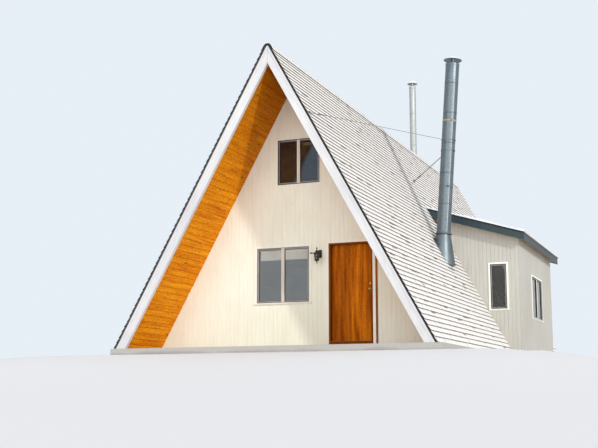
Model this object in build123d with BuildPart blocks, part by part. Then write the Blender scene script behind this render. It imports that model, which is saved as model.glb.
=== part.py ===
from build123d import *
from math import cos, pi, radians, sin, tan
import os

os.makedirs("parts", exist_ok=True)

# A frame cabin. X runs to the right along the front gable, Y back along the ridge, Z up from the ground.
# The origin is the middle of the foundation's underside, and all sizes are in millimetres.

# House and main roof. The half span is half the width at the ground, and the slopes meet at the ridge.
house_length = 12800
half_span = 3590
roof_pitch = 61
front_overhang = 1520
rear_overhang = 1520

# Levels
slab_top = 150
floor_level = 280
loft_level = 2760
loft_thickness = 200
door_head = 2360

# Roof layers, each measured square to the slope
shingle_stack = 32
shingle_step = 16
shingle_exposure = 125
roof_core = 170
ceiling_board = 19
shingle_lip = 14
course_least = 60

# Rake boards and their metal drip edges, and the rounded metal cap along the ridge
rake_thickness = 90
rake_drop = 16
drip_metal = 4
drip_face = 16
drip_round = 24
cap_metal = 6
cap_round = 84
cap_run = 235

# Walls
wall_thickness = 140

# Bay on the right side
bay_setback = 5950
bay_length = 4880
bay_outset = 80
bay_peak = 4030
bay_pitch = 17
bay_core = 140
bay_rake_overhang = 250
bay_eave_overhang = 185
bay_fascia_depth = 165
bay_fascia_thickness = 30

# Front door, its leaf hung on the left jamb and opening inwards. The door margin runs from the opening to the
# ceiling boards, at the height of the door's head.
door_margin = 285
leaf_width = 914
leaf_height = 2032
leaf_thickness = 44
leaf_gap = 6
jamb_thickness = 25
head_thickness = 22
stop_thickness = 12
threshold_height = 14
casing_width = 60
casing_head = 45
casing_thickness = 18
knob_height = 1090
bolt_rise = 115
knob_backset = 60
knob_radius = 27
knob_neck = 13
knob_reach = 62
knob_depth = 43
knob_back = 32
knob_front = 11
rose_radius = 33
rose_thickness = 8
bolt_radius = 24

# Door hinges
hinge_radius = 5
hinge_height = 100
hinge_plate = 30
hinge_metal = 3
hinge_inset = 250
hinge_axis_gap = 3

# Windows
window_proud = 12
window_depth = 70
frame_face = 42
mullion_face = 70
pane_thickness = 8
pane_depth = 30
upper_width = 978
upper_height = 996
upper_center = 77
upper_drop = 2770
lower_width = 1220
lower_height = 1190
lower_top = 2330
lower_gap = 443
rear_width = 1500
rear_height = 1220
rear_upper_width = 978
cheek_width = 415
cheek_height = 1140
cheek_margin = 333
cheek_sill = 1366
bay_window_width = 1500
bay_window_height = 1100
bay_window_sill = 1250

# Near flue, standing on the right slope
near_flue_setback = 4370
near_flue_center = 2100
near_flue_diameter = 340
near_flue_lean = 4.4
near_flue_length = 4750
near_plate = 640
near_cone_spread = 90
near_cone_height = 430
flue_wall = 25
flashing_gap = 0.5
flashing_metal = 3
plate_metal = 4
cap_rise = 90
cap_overhang = 55
cap_peak = 80
cap_straps = 4
cap_strap_width = 30
cap_strap_metal = 4
cap_tip_radius = 6
collar_height = 36
collar_thickness = 6
collar_sides = 24

# Rear flue, just behind the ridge on the left slope
rear_flue_setback = 10278
rear_flue_center = -290
rear_flue_diameter = 200
rear_flue_wall = 15
rear_flue_length = 2840
rear_plate = 400
rear_cone_spread = 50
rear_cone_height = 260

# Stays of the near flue: a cable to the front of the roof and a rod to the slope behind
cable_radius = 5
cable_foot_center = 905
cable_foot_setback = -1400
cable_rise = 2777
rod_radius = 10
rod_foot_center = 887
rod_foot_setback = 6175
rod_rise = 2516
stay_pad = 70
stay_pad_height = 14

# Lantern on the front wall, six-sided, its heights measured from the lowest tip
lantern_gap = 195
lantern_sides = 6
lantern_tip = 1914
lantern_reach = 195
backplate_width = 84
backplate_height = 174
backplate_thickness = 18
backplate_round = 28
backplate_rise = 231
arm_size = 14
tip_radius = 3
foot_rise = 14
foot_radius = 9
cup_rise = 43
cage_rise = 85
cage_bottom_radius = 44
cage_top_radius = 62
cage_plate = 8
cage_overhang = 6
brim_rise = 224
brim_radius = 78
roof_rise = 296
shoulder_radius = 34
shoulder_rise = 268
neck_radius = 8
ball_rise = 330
ball_radius = 14
finial_rise = 358
cage_bar = 8
glass_inset = 6


# Worked out from the sizes above
front_face = -house_length / 2
rear_face = house_length / 2
roof_front = front_face - front_overhang
roof_rear = rear_face + rear_overhang
roof_length = roof_rear - roof_front
pitch_cos = cos(radians(roof_pitch))
pitch_sin = sin(radians(roof_pitch))
pitch_tan = tan(radians(roof_pitch))
bay_cos = cos(radians(bay_pitch))
bay_tan = tan(radians(bay_pitch))
deck_depth = shingle_stack
lining_depth = deck_depth + roof_core
roof_depth = lining_depth + ceiling_board
ridge_height = half_span * pitch_tan
ridge_top = ridge_height - cap_round * (1 / pitch_cos - 1)
bay_front = front_face + bay_setback
bay_rear = bay_front + bay_length
bay_roof_front = bay_front - bay_rake_overhang
bay_roof_rear = bay_rear + bay_rake_overhang
bay_under = shingle_stack + bay_core
bay_reach = half_span + bay_outset
bay_eave = bay_reach + bay_eave_overhang
bay_peak_x = (ridge_height - bay_peak) / pitch_tan
cap_tangent = cap_round * pitch_tan


def slope_x(height, depth):
    """Distance from the ridge, at a height, of the plane lying a depth under the roof's face."""
    return (ridge_height - depth / pitch_cos - height) / pitch_tan


def on_slope(run, depth):
    """Point of the right slope, a run down from the ridge and a depth under the roof's face."""
    return (run * pitch_cos - depth * pitch_sin, ridge_height - run * pitch_sin - depth * pitch_cos)


def bay_z(x, depth):
    """Height, at a distance from the ridge, of the plane lying a depth under the bay roof's face."""
    return bay_peak - bay_tan * (x - bay_peak_x) - depth / bay_cos


def bay_meet(bay_depth, main_depth):
    """Point where a plane of the bay roof meets a plane of the main roof."""
    rise = ridge_height - main_depth / pitch_cos - bay_peak - bay_tan * bay_peak_x + bay_depth / bay_cos
    x = rise / (pitch_tan - bay_tan)
    return (x, bay_z(x, bay_depth))


def mirrored(points):
    """The same outline on the left of the ridge."""
    return [(-x, z) for x, z in points]


def cross(y):
    """Upright plane across the house at a place along it, its own y axis pointing up."""
    return Plane.XZ.offset(-y)


def ridge_end(depth):
    """Where a plane a depth under the right slope's face ends at the ridge, cut level under the cap."""
    apex = ridge_height - depth / pitch_cos
    if apex <= ridge_top:
        return [(0, apex)]
    return [(0, ridge_top), (slope_x(ridge_top, depth), ridge_top)]


def slope_band(outer, inner, foot):
    """Outline of one layer of the right slope, from the ridge, level under the cap, down to a level foot."""
    return [
        *ridge_end(outer),
        (slope_x(foot, outer), foot),
        (slope_x(foot, inner), foot),
        (0, ridge_height - inner / pitch_cos),
    ]


def shingle_courses():
    """Outline of the right slope's shingle courses, each butt standing over the course below."""
    run = (ridge_height - slab_top) / pitch_sin - deck_depth / pitch_tan
    points = [on_slope(cap_tangent, deck_depth), on_slope(run, deck_depth), on_slope(run, 0)]
    while run - shingle_exposure > cap_tangent + course_least:
        run -= shingle_exposure
        points.append(on_slope(run, shingle_step))
        points.append(on_slope(run, 0))
    points.append(on_slope(cap_tangent, shingle_step))
    return points


def bay_courses():
    """Outline of the bay roof's shingle courses, from its eave up to the main roof's deck."""
    eave = bay_eave + shingle_lip
    width = shingle_exposure * bay_cos
    points = [bay_meet(deck_depth, deck_depth), (eave, bay_z(eave, deck_depth)), (eave, bay_z(eave, 0))]
    x = eave - width
    top = bay_meet(0, deck_depth)
    while x > top[0] + width:
        points.append((x, bay_z(x, shingle_step)))
        points.append((x, bay_z(x, 0)))
        x -= width
    points.append(bay_meet(shingle_step, deck_depth))
    return points


def finish(part, name):
    """Names a finished piece and writes its file."""
    part.label = name
    export_step(part, f"parts/{name}.step")


# Concrete foundation, which runs under both overhangs and the bay, and carries the feet of the roof
with BuildPart() as foundation_slab:
    with BuildSketch(Plane.XY):
        with Locations((0, (roof_front + roof_rear) / 2)):
            Rectangle(2 * half_span, roof_length)
        with Locations((0, (bay_front + bay_rear) / 2)):
            Rectangle(bay_reach, bay_length, align=(Align.MIN, Align.CENTER))
    extrude(amount=slab_top)
finish(foundation_slab.part, "foundation_slab")

# Timber floor, between the walls and out into the bay
with BuildPart() as floor_deck:
    with BuildSketch(cross(front_face + wall_thickness)):
        with BuildLine():
            Polyline(
                (-slope_x(slab_top, roof_depth), slab_top),
                (slope_x(slab_top, roof_depth), slab_top),
                (slope_x(floor_level, roof_depth), floor_level),
                (-slope_x(floor_level, roof_depth), floor_level),
                close=True,
            )
        make_face()
    extrude(amount=-(house_length - 2 * wall_thickness))
    with BuildSketch(Plane.XY.offset(slab_top)):
        with Locations((0, (bay_front + bay_rear) / 2)):
            Rectangle(
                bay_reach - wall_thickness,
                bay_length - 2 * wall_thickness,
                align=(Align.MIN, Align.CENTER),
            )
    extrude(amount=floor_level - slab_top)
finish(floor_deck.part, "floor_deck")

# Loft floor, spanning from slope to slope
with BuildPart() as loft_floor:
    with BuildSketch(cross(front_face + wall_thickness)):
        with BuildLine():
            Polyline(
                (-slope_x(loft_level - loft_thickness, roof_depth), loft_level - loft_thickness),
                (slope_x(loft_level - loft_thickness, roof_depth), loft_level - loft_thickness),
                (slope_x(loft_level, roof_depth), loft_level),
                (-slope_x(loft_level, roof_depth), loft_level),
                close=True,
            )
        make_face()
    extrude(amount=-(house_length - 2 * wall_thickness))
finish(loft_floor.part, "loft_floor")

# Front wall, in pieces beside and over the door
door_opening = leaf_width + 2 * leaf_gap + 2 * jamb_thickness
door_right = slope_x(door_head, roof_depth) - door_margin
door_left = door_right - door_opening
door_center = (door_left + door_right) / 2
front_plane = cross(front_face)
lower_center = door_left - lower_gap - lower_width / 2
lower_middle = lower_top - lower_height / 2
upper_sill = ridge_height - upper_drop
upper_middle = upper_sill + upper_height / 2

with BuildPart() as front_wall_left:
    with BuildSketch(front_plane):
        with BuildLine():
            Polyline(
                (-slope_x(slab_top, roof_depth), slab_top),
                (door_left, slab_top),
                (door_left, door_head),
                (-slope_x(door_head, roof_depth), door_head),
                close=True,
            )
        make_face()
        with Locations((lower_center, lower_middle)):
            Rectangle(lower_width, lower_height, mode=Mode.SUBTRACT)
    extrude(amount=-wall_thickness)
finish(front_wall_left.part, "front_wall_left")

with BuildPart() as front_wall_right:
    with BuildSketch(front_plane):
        with BuildLine():
            Polyline(
                (door_right, slab_top),
                (slope_x(slab_top, roof_depth), slab_top),
                (slope_x(door_head, roof_depth), door_head),
                (door_right, door_head),
                close=True,
            )
        make_face()
    extrude(amount=-wall_thickness)
finish(front_wall_right.part, "front_wall_right")

gable_outline = [
    (-slope_x(door_head, roof_depth), door_head),
    (slope_x(door_head, roof_depth), door_head),
    (0, ridge_height - roof_depth / pitch_cos),
]

with BuildPart() as front_wall_gable:
    with BuildSketch(front_plane):
        with BuildLine():
            Polyline(*gable_outline, close=True)
        make_face()
        with Locations((upper_center, upper_middle)):
            Rectangle(upper_width, upper_height, mode=Mode.SUBTRACT)
    extrude(amount=-wall_thickness)
finish(front_wall_gable.part, "front_wall_gable")

# Rear wall, with a window on each storey
rear_plane = cross(rear_face - wall_thickness)
rear_middle = door_head - rear_height / 2

with BuildPart() as rear_wall_lower:
    with BuildSketch(rear_plane):
        with BuildLine():
            Polyline(
                (-slope_x(slab_top, roof_depth), slab_top),
                (slope_x(slab_top, roof_depth), slab_top),
                (slope_x(door_head, roof_depth), door_head),
                (-slope_x(door_head, roof_depth), door_head),
                close=True,
            )
        make_face()
        with Locations((0, rear_middle)):
            Rectangle(rear_width, rear_height, mode=Mode.SUBTRACT)
    extrude(amount=-wall_thickness)
finish(rear_wall_lower.part, "rear_wall_lower")

with BuildPart() as rear_wall_gable:
    with BuildSketch(rear_plane):
        with BuildLine():
            Polyline(*gable_outline, close=True)
        make_face()
        with Locations((0, upper_middle)):
            Rectangle(rear_upper_width, upper_height, mode=Mode.SUBTRACT)
    extrude(amount=-wall_thickness)
finish(rear_wall_gable.part, "rear_wall_gable")

# Main roof panels and the ceiling boards under them, left whole and right in three lengths about the bay
panel_front = roof_front + rake_thickness
panel_rear = roof_rear - rake_thickness
cheek_front_in = bay_front + wall_thickness
cheek_rear_in = bay_rear - wall_thickness
bay_opening_top = bay_meet(bay_under, deck_depth)[1]

with BuildPart() as roof_panel_left:
    with BuildSketch(cross(panel_front)):
        with BuildLine():
            Polyline(*mirrored(slope_band(deck_depth, lining_depth, slab_top)), close=True)
        make_face()
    extrude(amount=-(panel_rear - panel_front))
finish(roof_panel_left.part, "roof_panel_left")

with BuildPart() as ceiling_boards_left:
    with BuildSketch(cross(panel_front)):
        with BuildLine():
            Polyline(*mirrored(slope_band(lining_depth, roof_depth, slab_top)), close=True)
        make_face()
    extrude(amount=-(panel_rear - panel_front))
finish(ceiling_boards_left.part, "ceiling_boards_left")

right_lengths = {
    "front": (panel_front, cheek_front_in, slab_top),
    "upper": (cheek_front_in, cheek_rear_in, bay_opening_top),
    "rear": (cheek_rear_in, panel_rear, slab_top),
}

for place, (start, end, foot) in right_lengths.items():
    with BuildPart() as roof_panel_right:
        with BuildSketch(cross(start)):
            with BuildLine():
                Polyline(*slope_band(deck_depth, lining_depth, foot), close=True)
            make_face()
        extrude(amount=-(end - start))
    finish(roof_panel_right.part, f"roof_panel_right_{place}")

    with BuildPart() as ceiling_boards_right:
        with BuildSketch(cross(start)):
            with BuildLine():
                Polyline(*slope_band(lining_depth, roof_depth, foot), close=True)
            make_face()
        extrude(amount=-(end - start))
    finish(ceiling_boards_right.part, f"ceiling_boards_right_{place}")

# Shingles: stepped courses from the foot to the ridge, standing a lip past the rake boards
shingle_front = roof_front - shingle_lip
shingle_rear = roof_rear + shingle_lip

with BuildPart() as shingles_left:
    with BuildSketch(cross(shingle_front)):
        with BuildLine():
            Polyline(*mirrored(shingle_courses()), close=True)
        make_face()
    extrude(amount=-(shingle_rear - shingle_front))
finish(shingles_left.part, "shingles_left")

# What the bay takes out of the right slope's shingles: all over its roof's under plane and under its face
fascia_under = deck_depth + bay_fascia_depth
over_bay_eaves = [
    bay_meet(fascia_under, 2 * roof_depth),
    (bay_eave + half_span, bay_z(bay_eave + half_span, fascia_under)),
    (bay_eave + half_span, 2 * ridge_height),
    (-half_span, 2 * ridge_height),
    (-half_span, bay_peak),
]
under_bay_face = [
    bay_meet(0, 2 * roof_depth),
    (bay_eave + half_span, bay_z(bay_eave + half_span, 0)),
    (bay_eave + half_span, -half_span),
    (-half_span, -half_span),
    (-half_span, bay_z(-half_span, 0)),
]

with BuildPart() as shingles_right_front:
    with BuildSketch(cross(shingle_front)):
        with BuildLine():
            Polyline(*shingle_courses(), close=True)
        make_face()
    extrude(amount=-(bay_front - shingle_front))
    with BuildSketch(cross(bay_roof_front - shingle_lip)):
        with BuildLine():
            Polyline(*over_bay_eaves, close=True)
        make_face()
    extrude(amount=-(bay_rake_overhang + shingle_lip), mode=Mode.SUBTRACT)
finish(shingles_right_front.part, "shingles_right_front")

with BuildPart() as shingles_right_rear:
    with BuildSketch(cross(bay_rear)):
        with BuildLine():
            Polyline(*shingle_courses(), close=True)
        make_face()
    extrude(amount=-(shingle_rear - bay_rear))
    with BuildSketch(cross(bay_rear)):
        with BuildLine():
            Polyline(*over_bay_eaves, close=True)
        make_face()
    extrude(amount=-(bay_rake_overhang + shingle_lip), mode=Mode.SUBTRACT)
finish(shingles_right_rear.part, "shingles_right_rear")

bay_roof_length = bay_roof_rear - bay_roof_front + 2 * shingle_lip

with BuildPart() as shingles_right_upper:
    with BuildSketch(cross(bay_roof_front - shingle_lip)):
        with BuildLine():
            Polyline(*shingle_courses(), close=True)
        make_face()
        with BuildLine():
            Polyline(*under_bay_face, close=True)
        make_face(mode=Mode.SUBTRACT)
    extrude(amount=-bay_roof_length)
finish(shingles_right_upper.part, "shingles_right_upper")

# Metal cap along the ridge, rounded over the top and bedded on the panels between the slopes' shingles
cap_middle = ridge_height - cap_round / pitch_cos
cap_side = [
    on_slope(cap_tangent, -cap_metal),
    on_slope(cap_run, -cap_metal),
    on_slope(cap_run, 0),
    on_slope(cap_tangent, 0),
    on_slope(cap_tangent, deck_depth),
    *reversed(ridge_end(deck_depth)[1:]),
]
with BuildPart() as ridge_cap:
    with BuildSketch(cross(shingle_front)):
        with BuildLine():
            Polyline(*cap_side, *reversed(mirrored(cap_side)))
            ThreePointArc(mirrored(cap_side)[0], (0, cap_middle + cap_round + cap_metal), cap_side[0])
        make_face()
    extrude(amount=-(shingle_rear - shingle_front))
finish(ridge_cap.part, "ridge_cap")

# Rake boards, a mitred pair at each end, and the drip edge along the top of each pair
board_side = slope_band(deck_depth, roof_depth + rake_drop, slab_top)
board_chevron = [*board_side, *reversed(mirrored(board_side[1:-1]))]
drip_under = deck_depth + drip_face
drip_side = [
    *ridge_end(deck_depth)[1:],
    (slope_x(slab_top, deck_depth), slab_top),
    (slope_x(slab_top, drip_under), slab_top),
    on_slope((drip_under + drip_round) * pitch_tan, drip_under),
]
drip_bend = ridge_height - (drip_under + drip_round) / pitch_cos + drip_round

for place, start in {"front": roof_front, "rear": roof_rear - rake_thickness}.items():
    with BuildPart() as rake_boards:
        with BuildSketch(cross(start)):
            with BuildLine():
                Polyline(*board_chevron, close=True)
            make_face()
        extrude(amount=-rake_thickness)
    finish(rake_boards.part, f"{place}_rake_boards")

with BuildPart() as rake_drip_edges:
    for start in (roof_front - drip_metal, roof_rear):
        with BuildSketch(cross(start)):
            with BuildLine():
                Polyline(*reversed(mirrored(drip_side)), *drip_side)
                ThreePointArc(drip_side[-1], (0, drip_bend), mirrored(drip_side)[-1])
            make_face()
        extrude(amount=-drip_metal)
finish(rake_drip_edges.part, "rake_drip_edges")

# Bay walls
cheek_outline = [
    (slope_x(slab_top, deck_depth), slab_top),
    (bay_reach, slab_top),
    (bay_reach, bay_z(bay_reach, bay_under)),
    bay_meet(bay_under, deck_depth),
]
cheek_center = bay_reach - cheek_margin - cheek_width / 2
cheek_middle = cheek_sill + cheek_height / 2

with BuildPart() as bay_front_wall:
    with BuildSketch(cross(bay_front)):
        with BuildLine():
            Polyline(*cheek_outline, close=True)
        make_face()
        with Locations((cheek_center, cheek_middle)):
            Rectangle(cheek_width, cheek_height, mode=Mode.SUBTRACT)
    extrude(amount=-wall_thickness)
finish(bay_front_wall.part, "bay_front_wall")

with BuildPart() as bay_rear_wall:
    with BuildSketch(cross(bay_rear - wall_thickness)):
        with BuildLine():
            Polyline(*cheek_outline, close=True)
        make_face()
    extrude(amount=-wall_thickness)
finish(bay_rear_wall.part, "bay_rear_wall")

bay_inner = bay_reach - wall_thickness
bay_middle = (bay_front + bay_rear) / 2
bay_window_middle = bay_window_sill + bay_window_height / 2
side_plane = Plane(origin=(bay_reach, bay_middle, 0), x_dir=(0, 1, 0), z_dir=(1, 0, 0))

with BuildPart() as bay_side_wall:
    with BuildSketch(cross(cheek_front_in)):
        with BuildLine():
            Polyline(
                (bay_inner, slab_top),
                (bay_reach, slab_top),
                (bay_reach, bay_z(bay_reach, bay_under)),
                (bay_inner, bay_z(bay_inner, bay_under)),
                close=True,
            )
        make_face()
    extrude(amount=-(cheek_rear_in - cheek_front_in))
    with BuildSketch(side_plane):
        with Locations((0, bay_window_middle)):
            Rectangle(bay_window_width, bay_window_height)
    extrude(amount=-wall_thickness, mode=Mode.SUBTRACT)
finish(bay_side_wall.part, "bay_side_wall")

# Bay roof
with BuildPart() as bay_roof_panel:
    with BuildSketch(cross(bay_roof_front + bay_fascia_thickness)):
        with BuildLine():
            Polyline(
                bay_meet(deck_depth, deck_depth),
                (bay_eave - bay_fascia_thickness, bay_z(bay_eave - bay_fascia_thickness, deck_depth)),
                (bay_eave - bay_fascia_thickness, bay_z(bay_eave - bay_fascia_thickness, bay_under)),
                bay_meet(bay_under, deck_depth),
                close=True,
            )
        make_face()
    extrude(amount=-(bay_roof_rear - bay_roof_front - 2 * bay_fascia_thickness))
finish(bay_roof_panel.part, "bay_roof_panel")

with BuildPart() as bay_shingles:
    with BuildSketch(cross(bay_roof_front - shingle_lip)):
        with BuildLine():
            Polyline(*bay_courses(), close=True)
        make_face()
    extrude(amount=-bay_roof_length)
finish(bay_shingles.part, "bay_shingles")

# Fascia round the bay roof: two raking boards joined by the eave board
fascia_outline = [
    bay_meet(deck_depth, deck_depth),
    (bay_eave, bay_z(bay_eave, deck_depth)),
    (bay_eave, bay_z(bay_eave, fascia_under)),
    bay_meet(fascia_under, deck_depth),
]
with BuildPart() as bay_fascia:
    for start in (bay_roof_front, bay_roof_rear - bay_fascia_thickness):
        with BuildSketch(cross(start)):
            with BuildLine():
                Polyline(*fascia_outline, close=True)
            make_face()
        extrude(amount=-bay_fascia_thickness)
    with BuildSketch(cross(bay_roof_front)):
        with BuildLine():
            Polyline(
                (bay_eave - bay_fascia_thickness, bay_z(bay_eave - bay_fascia_thickness, deck_depth)),
                (bay_eave, bay_z(bay_eave, deck_depth)),
                (bay_eave, bay_z(bay_eave, fascia_under)),
                (bay_eave - bay_fascia_thickness, bay_z(bay_eave, fascia_under)),
                close=True,
            )
        make_face()
    extrude(amount=-(bay_roof_rear - bay_roof_front))
finish(bay_fascia.part, "bay_fascia")

# Door frame: jambs, head, threshold and the stop that the leaf closes on
wall_inside = front_face + wall_thickness
leaf_left = door_center - leaf_width / 2
leaf_bottom = floor_level + threshold_height + leaf_gap
stop_back = wall_inside - leaf_thickness - leaf_gap
jamb_clear = leaf_width + 2 * leaf_gap

with BuildPart() as door_frame:
    with BuildSketch(front_plane):
        with BuildLine():
            Polyline(
                (door_left, slab_top),
                (door_right, slab_top),
                (door_right, door_head),
                (door_left, door_head),
                close=True,
            )
        make_face()
        with Locations((door_center, door_head - head_thickness)):
            Rectangle(
                jamb_clear,
                door_head - head_thickness - floor_level - threshold_height,
                align=(Align.CENTER, Align.MAX),
                mode=Mode.SUBTRACT,
            )
    extrude(amount=-wall_thickness)
    with BuildSketch(front_plane):
        for side in (-1, 1):
            stop_x = door_center + side * (jamb_clear - stop_thickness) / 2
            with Locations((stop_x, door_head - head_thickness)):
                Rectangle(
                    stop_thickness,
                    door_head - head_thickness - floor_level - threshold_height,
                    align=(Align.CENTER, Align.MAX),
                )
        with Locations((door_center, door_head - head_thickness)):
            Rectangle(jamb_clear, stop_thickness, align=(Align.CENTER, Align.MAX))
    extrude(amount=-(stop_back - front_face))
finish(door_frame.part, "door_frame")

# White casing on the wall's face round the door
with BuildPart() as door_casing:
    with BuildSketch(front_plane):
        with Locations((door_center, slab_top)):
            Rectangle(
                door_opening + 2 * casing_width,
                door_head + casing_head - slab_top,
                align=(Align.CENTER, Align.MIN),
            )
            Rectangle(door_opening, door_head - slab_top, align=(Align.CENTER, Align.MIN), mode=Mode.SUBTRACT)
    extrude(amount=casing_thickness)
finish(door_casing.part, "door_casing")

# Door leaf
leaf_face = wall_inside - leaf_thickness
with BuildPart() as front_door:
    with BuildSketch(cross(leaf_face)):
        with Locations((door_center, leaf_bottom)):
            Rectangle(leaf_width, leaf_height, align=(Align.CENTER, Align.MIN))
    extrude(amount=-leaf_thickness)
finish(front_door.part, "front_door")

# Knobs on both faces, each turned in rings before its rose, and the bolt's rose above them
knob_x = leaf_left + leaf_width - knob_backset
knob_z = floor_level + knob_height
knob_outline = [
    (0, 0),
    (rose_radius, 0),
    (rose_radius, rose_thickness),
    (knob_neck, rose_thickness),
    (knob_neck, knob_reach - knob_depth),
    (knob_radius, knob_reach - knob_back),
    (knob_radius, knob_reach - knob_front),
    (knob_neck, knob_reach),
    (0, knob_reach),
]
knob_faces = [
    Plane(origin=(knob_x, leaf_face, knob_z), x_dir=(1, 0, 0), z_dir=(0, -1, 0)),
    Plane(origin=(knob_x, wall_inside, knob_z), x_dir=(-1, 0, 0), z_dir=(0, 1, 0)),
]

with BuildPart() as door_knobs:
    for face in knob_faces:
        with BuildSketch(Plane(origin=face.origin, x_dir=face.x_dir, z_dir=-face.y_dir)):
            with BuildLine():
                Polyline(*knob_outline, close=True)
            make_face()
        revolve(axis=Axis(face.origin, face.z_dir))
        with BuildSketch(face):
            with Locations((0, bolt_rise)):
                Circle(bolt_radius)
        extrude(amount=rose_thickness)
finish(door_knobs.part, "door_knobs")

# Hinges: knuckles on the pin's axis with a plate on the wall's inside, and a plate on the leaf
hinge_x = leaf_left - hinge_axis_gap
hinge_y = wall_inside + hinge_radius
hinge_heights = [
    leaf_bottom + hinge_inset,
    leaf_bottom + leaf_height / 2,
    leaf_bottom + leaf_height - hinge_inset,
]

with BuildPart() as door_hinges:
    for height in hinge_heights:
        with BuildSketch(Plane.XY.offset(height - hinge_height / 2)):
            with Locations((hinge_x, hinge_y)):
                Circle(hinge_radius)
            with Locations((hinge_x, wall_inside)):
                Rectangle(hinge_radius + hinge_plate, hinge_metal, align=(Align.MAX, Align.MIN))
        extrude(amount=hinge_height)
finish(door_hinges.part, "door_hinges")

with BuildPart() as hinge_leaves:
    for height in hinge_heights:
        with BuildSketch(Plane.XY.offset(height - hinge_height / 2)):
            with Locations((hinge_x + 2 * hinge_radius, wall_inside)):
                Rectangle(hinge_plate, hinge_metal, align=(Align.MIN, Align.MIN))
        extrude(amount=hinge_height)
finish(hinge_leaves.part, "hinge_leaves")

# Windows. Each plane lies on a wall's outer face at the window's middle and points outwards.
upper_plane = Plane(origin=(upper_center, front_face, upper_middle), x_dir=(1, 0, 0), z_dir=(0, -1, 0))
lower_plane = Plane(origin=(lower_center, front_face, lower_middle), x_dir=(1, 0, 0), z_dir=(0, -1, 0))
rear_lower_plane = Plane(origin=(0, rear_face, rear_middle), x_dir=(-1, 0, 0), z_dir=(0, 1, 0))
rear_upper_plane = Plane(origin=(0, rear_face, upper_middle), x_dir=(-1, 0, 0), z_dir=(0, 1, 0))
cheek_plane = Plane(origin=(cheek_center, bay_front, cheek_middle), x_dir=(1, 0, 0), z_dir=(0, -1, 0))
bay_plane = Plane(origin=(bay_reach, bay_middle, bay_window_middle), x_dir=(0, 1, 0), z_dir=(1, 0, 0))


def frame_outline(width, height, bar):
    """Window frame seen from outside, with a bar up its middle where it has one."""
    Rectangle(width, height)
    Rectangle(width - 2 * frame_face, height - 2 * frame_face, mode=Mode.SUBTRACT)
    if bar:
        Rectangle(mullion_face, height - 2 * frame_face)


def pane_outline(width, height, bar):
    """The panes of one window, edge to edge with its frame and bar."""
    Rectangle(width - 2 * frame_face, height - 2 * frame_face)
    if bar:
        Rectangle(mullion_face, height - 2 * frame_face, mode=Mode.SUBTRACT)


window_groups = {
    "upper_window": [(upper_plane, upper_width, upper_height, True)],
    "lower_window": [(lower_plane, lower_width, lower_height, True)],
    "rear_windows": [
        (rear_lower_plane, rear_width, rear_height, True),
        (rear_upper_plane, rear_upper_width, upper_height, True),
    ],
    "bay_windows": [
        (cheek_plane, cheek_width, cheek_height, False),
        (bay_plane, bay_window_width, bay_window_height, True),
    ],
}

for name, windows in window_groups.items():
    with BuildPart() as window_frames:
        for plane, width, height, bar in windows:
            with BuildSketch(plane.offset(window_proud)):
                frame_outline(width, height, bar)
            extrude(amount=-(window_proud + window_depth))
    finish(window_frames.part, name)

with BuildPart() as window_glass:
    for windows in window_groups.values():
        for plane, width, height, bar in windows:
            with BuildSketch(plane.offset(-pane_depth)):
                pane_outline(width, height, bar)
            extrude(amount=pane_thickness)
finish(window_glass.part, "window_glass")

# Flues. Each stands on its slope's shingles, in a flashing plate and cone, with a rain cap on straps.
near_radius = near_flue_diameter / 2
near_y = front_face + near_flue_setback
near_foot = Vector(near_flue_center, near_y, ridge_height - pitch_tan * near_flue_center)
near_up = Vector(sin(radians(near_flue_lean)), 0, cos(radians(near_flue_lean)))
near_pipe_plane = Plane(origin=near_foot, x_dir=(0, 1, 0), z_dir=near_up)
near_slope_plane = Plane(origin=near_foot, x_dir=(0, 1, 0), z_dir=(pitch_sin, 0, pitch_cos))

rear_radius = rear_flue_diameter / 2
rear_y = front_face + rear_flue_setback
rear_foot = Vector(rear_flue_center, rear_y, ridge_height + pitch_tan * rear_flue_center)
rear_pipe_plane = Plane(origin=rear_foot, x_dir=(0, 1, 0), z_dir=(0, 0, 1))
rear_slope_plane = Plane(origin=rear_foot, x_dir=(0, 1, 0), z_dir=(-pitch_sin, 0, pitch_cos))


def flashing(pipe_plane, slope_plane, radius, plate, spread, height):
    """Plate on the slope with a cone up to the pipe, bored to let the pipe through."""
    below = 2 * radius
    skirt = radius + flashing_gap + flashing_metal
    foot_skirt = skirt + spread * (height + below) / height
    with BuildPart() as made:
        with Locations(pipe_plane.offset(-below)):
            Cone(foot_skirt, skirt, height + below, align=(Align.CENTER, Align.CENTER, Align.MIN))
        split(bisect_by=slope_plane, keep=Keep.TOP)
        with BuildSketch(slope_plane):
            Rectangle(plate, plate)
        extrude(amount=plate_metal)
        with BuildSketch(pipe_plane.offset(-below)):
            Circle(radius + flashing_gap)
        extrude(amount=2 * below + height, mode=Mode.SUBTRACT)
    return made.part


def flue_pipe(pipe_plane, slope_plane, radius, wall, length):
    """Hollow pipe cut at its foot to the slope, with a closed end under its rain cap."""
    with BuildPart() as made:
        with BuildSketch(pipe_plane.offset(-2 * radius)):
            Circle(radius)
        extrude(amount=2 * radius + length)
        with BuildSketch(pipe_plane.offset(-2 * radius)):
            Circle(radius - wall)
        extrude(amount=2 * radius + length - wall, mode=Mode.SUBTRACT)
        split(bisect_by=slope_plane, keep=Keep.TOP)
    return made.part


def rain_cap(pipe_plane, radius, length):
    """Shallow cone over the pipe's end, on straps that stand on the pipe's rim."""
    brim = radius + cap_overhang
    with BuildPart() as made:
        with BuildSketch(pipe_plane.offset(length)):
            with PolarLocations(radius - cap_strap_metal, cap_straps):
                Rectangle(cap_strap_metal, cap_strap_width)
        extrude(amount=cap_rise)
        with Locations(pipe_plane.offset(length + cap_rise)):
            Cone(brim, cap_tip_radius, cap_peak, align=(Align.CENTER, Align.CENTER, Align.MIN))
    return made.part


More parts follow.
